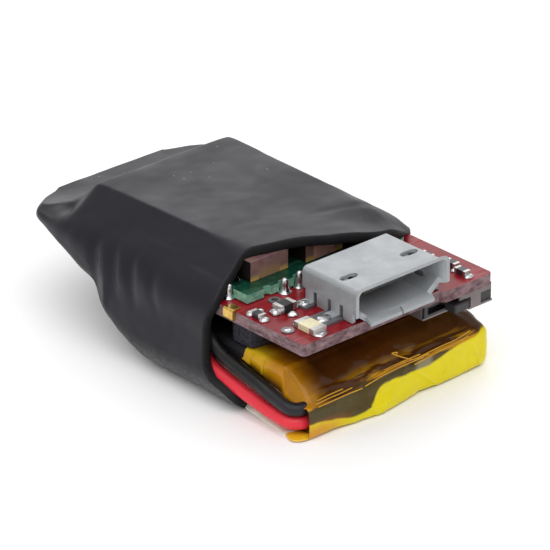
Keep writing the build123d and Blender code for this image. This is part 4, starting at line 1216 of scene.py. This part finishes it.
# x, distance back and z of each point.
RED_ROUTE = (
    (-3.9, 0.94, 0.9), (-5.9, 0.9, 0.92), (-7.95, 0.92, 0.95), (-7.95, 2.9, 1.05), (-8.0, 5.0, 1.42),
    (-8.02, 7.2, 1.85), (-8.05, 9.0, 2.35), (-7.75, 11.2, 4.3), (-6.3, 12.9, 5.35), (-4.7, 13.9, 5.6),
)
BLACK_ROUTE = (
    (0.1, 0.94, 1.1), (-1.8, 0.9, 1.55), (-3.7, 0.92, 1.9), (-5.9, 0.9, 1.92),
    (-7.93, 0.92, 1.87), (-7.93, 2.5, 2.1), (-7.93, 4.2, 2.6), (-7.93, 6.0, 2.98),
    (-7.95, 7.8, 3.4), (-7.85, 9.2, 4.3), (-6.9, 10.4, 5.1), (-4.9, 11.6, 5.6),
)


def build_lead(name, route, material, slot, node):
    """A lead's jacket: a round tube on one smooth line through its route."""
    lead = tube(name, route, LEAD_RADIUS, *LEAD_STEPS)
    dress(material, lead)
    return finish_piece(lead, slot, node)


# ---------------- solder
DROP_SIDES, LUMPS_PER_MM = 24, 1.3
SPOT_LUMPS, DROP_LUMPS = 0.3, 0.12  # how uneven the round spots and the tall drops are
SPOT_SEED, SIDE_SEED = 40.0, 20.0


def lathe(centre, outline, lumps, seed, wide=1.0):
    """Vertices and faces of a turned drop. The outline is pairs of radius and height from its foot."""
    points = []
    for radius, height in outline:
        for k in range(DROP_SIDES):
            angle = 2 * pi * k / DROP_SIDES
            ray = Vector((cos(angle), sin(angle), height)) * LUMPS_PER_MM
            grow = 1 + lumps * noise.noise(ray + Vector((seed, seed, 0)))
            x, y = radius * grow * cos(angle) * wide, radius * grow * sin(angle)
            points.append((centre[0] + x, centre[1] + y, centre[2] + height))
    return points, ring_faces(len(outline), DROP_SIDES)


def join_shapes(name, shapes):
    """One object from several lists of vertices and faces."""
    points, faces = [], []
    for some_points, some_faces in shapes:
        start = len(points)
        points += some_points
        faces += [tuple(start + i for i in face) for face in some_faces]
    return outward(new_object(name, points, faces))


# Outlines of drops: radius and height.
CONE = (
    (0.46, 0.0), (0.44, 0.04), (0.34, 0.14), (0.27, 0.32), (0.25, 0.6),
    (0.24, 0.8), (0.19, 0.93), (0.1, 0.99), (0.02, 1.0),
)
DOME = ((1.0, 0.0), (0.95, 0.3), (0.8, 0.62), (0.52, 0.88), (0.22, 0.98), (0.03, 1.0))
SOLDER_SPOTS = (  # x, distance back, foot over the board, radius, height, stretch along X
    (-7.35, 2.2, 0.0, 0.3, 0.14, 1.0),
    (-4.75, 1.75, 0.14, 0.52, 0.22, 1.15),
    (-4.2, 4.1, 0.14, 0.36, 0.2, 1.1),
    (-5.66, 3.62, 0.0, 0.36, 0.28, 0.9),
    (-6.36, 4.5, 0.0, 0.4, 0.34, 0.8),
    (-4.8, 4.45, 0.0, 0.36, 0.36, 0.8),
    (-7.45, 4.24, 0.0, 0.34, 0.24, 1.1),
    (-7.45, 5.46, 0.0, 0.36, 0.26, 1.1),
    (-6.86, 5.3, 0.0, 0.3, 0.24, 1.0),
    (-6.15, 0.5, 0.0, 0.4, 0.16, 1.3),
    (-6.15, 2.42, 0.0, 0.42, 0.18, 1.3),
    (4.75, 1.75, 0.14, 0.52, 0.22, 1.15),
    (4.2, 4.1, 0.14, 0.36, 0.2, 1.1),
    (6.4, 0.16, 0.0, 0.32, 0.2, 1.1),
    (6.4, 1.34, 0.0, 0.32, 0.22, 1.1),
    (6.7, 2.62, 0.0, 0.32, 0.2, 1.1),
    (6.3, 3.3, 0.0, 0.3, 0.2, 1.1),
    (6.3, 4.5, 0.0, 0.32, 0.22, 1.1),
)


def build_solder_spots():
    """Rounded solder at the chips' feet, on the socket's pads and in the nearest plated hole."""
    shapes = []
    for index, (x, setback, foot, radius, height, wide) in enumerate(SOLDER_SPOTS):
        outline = [(radius * r, height * h) for r, h in DOME]
        centre = (x, FRONT + setback, BOARD_TOP + foot)
        shapes.append(lathe(centre, outline, SPOT_LUMPS, SPOT_SEED + 3 * index, wide))
    return finish_piece(join_shapes("solder_spots", shapes), "solder")


FRONT_HOLES, HOLE_PITCH, HOLE_SETBACK = 9, 1.27, -0.2  # the first hole has no drop
SIDE_DROPS, SIDE_PITCH, SIDE_START, SIDE_GAP = 6, 1.9, 1.6, 0.14
DROP_SPREAD, DROP_NARROWEST = 0.12, 0.92


def build_edge_solder():
    """Upright shiny drops in the module's half holes, slightly different from each other."""
    shapes = []
    for i in range(1, FRONT_HOLES):
        x = (i - (FRONT_HOLES - 1) / 2) * HOLE_PITCH
        rng = random.Random(i)
        height = 1.0 + DROP_SPREAD * rng.random()
        outline = [(r * (DROP_NARROWEST + DROP_SPREAD * rng.random()), h * height) for r, h in CONE]
        centre = (x, MODULE_FRONT + HOLE_SETBACK, BOARD_TOP)
        shapes.append(lathe(centre, outline, DROP_LUMPS, float(i)))
    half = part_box("converter_board")[1].x / MM
    for i in range(SIDE_DROPS):
        for side in (-1, 1):
            centre = (side * (half + SIDE_GAP), MODULE_FRONT + SIDE_START + SIDE_PITCH * i, BOARD_TOP)
            shapes.append(lathe(centre, CONE, DROP_LUMPS, SIDE_SEED + i * side))
    return finish_piece(join_shapes("module_solder", shapes), "solder", "module_edge_solder")


# ---------------- everything else
PLAIN_NODES = {  # material and roughness: nodes
    ("package_black", 0.5): "protection_transistor protection_controller"
    " schottky_diode converter_chip charger_chip",
    ("switch_black", 0.45): "switch_base switch_slider",
    ("socket_plastic", 0.5): "socket_insulator",
    ("resistor_black", 0.3): "chip_resistors protection_chips",
    ("lamp_cream", 0.3): "status_lamp",
    ("ferrite", 0.6): "inductor_core",
    ("electrodes", 0.6): "electrode_stack",
    ("sealing_film", 0.5): "tab_sealing_films",
}
METAL_NODES = {  # material, roughness, features in a metre, relief and how metallic: nodes
    ("solder_dull", 0.4, 2600, 0.02, 0.7): "plated_eyelets socket_anchor_solder",
    ("gilt", 0.24, 2600): "edge_contact bridge_fuse socket_contacts switch_terminals switch_wiper",
    ("switch_steel", 0.48, 1800, 0.01, 0.3): "switch_cover",
    ("nickel", 0.3): "positive_tab negative_tab",
    ("copper", 0.3): "red_lead_core black_lead_core",
}
BOARDS = {
    "board_red": "charging_board",
    "board_green": "converter_board",
    "board_protection": "protection_board",
}
SHELL_ROUND = 0.05


def dress_nodes():
    """Materials for the CAD nodes that stay as they are, and the socket's shell with softer edges."""
    for make, table in ((plain_material, PLAIN_NODES), (metal_material, METAL_NODES)):
        for settings, nodes in table.items():
            dress(make(*settings), *nodes.split())
    for material, node in BOARDS.items():
        dress(board_material(material), node)
    dress(cap_material(), "chip_terminals")
    dress(capacitor_material(), "ceramic_capacitors")
    dress(foil_material(), "cell_pouch")
    steel = metal_material("socket_steel", 0.42, 1500, 0.006, 0.25)
    shell = softened("socket_shell_smooth", "socket_shell", SHELL_ROUND)
    dress(steel, "socket_latches", shell)
    finish_piece(shell, "socket_steel", "socket_shell")
    solder = metal_material("solder_bright", 0.2, 2600, 0.02)
    dress(solder, "protection_lead_solder", "board_lead_solder", "switch_anchor_solder", "bare_jumper")
    return solder


def main():
    bpy.context.scene.view_settings.view_transform = "Standard"
    add_camera()
    add_stage()
    solder = dress_nodes()
    build_sleeve()
    build_tape()
    build_folds()
    build_tape_lip()
    build_seam()
    build_strip()
    build_foam()
    red, black = lead_material("lead_red", 0.38), lead_material("lead_black", 0.44, 2.6)
    build_lead("red_jacket", RED_ROUTE, red, "red_silicone", "red_lead_jacket")
    build_lead("black_jacket", BLACK_ROUTE, black, "black_silicone", "black_lead_jacket")
    dress(solder, build_edge_solder())
    dress(solder, build_solder_spots())


main()

import json
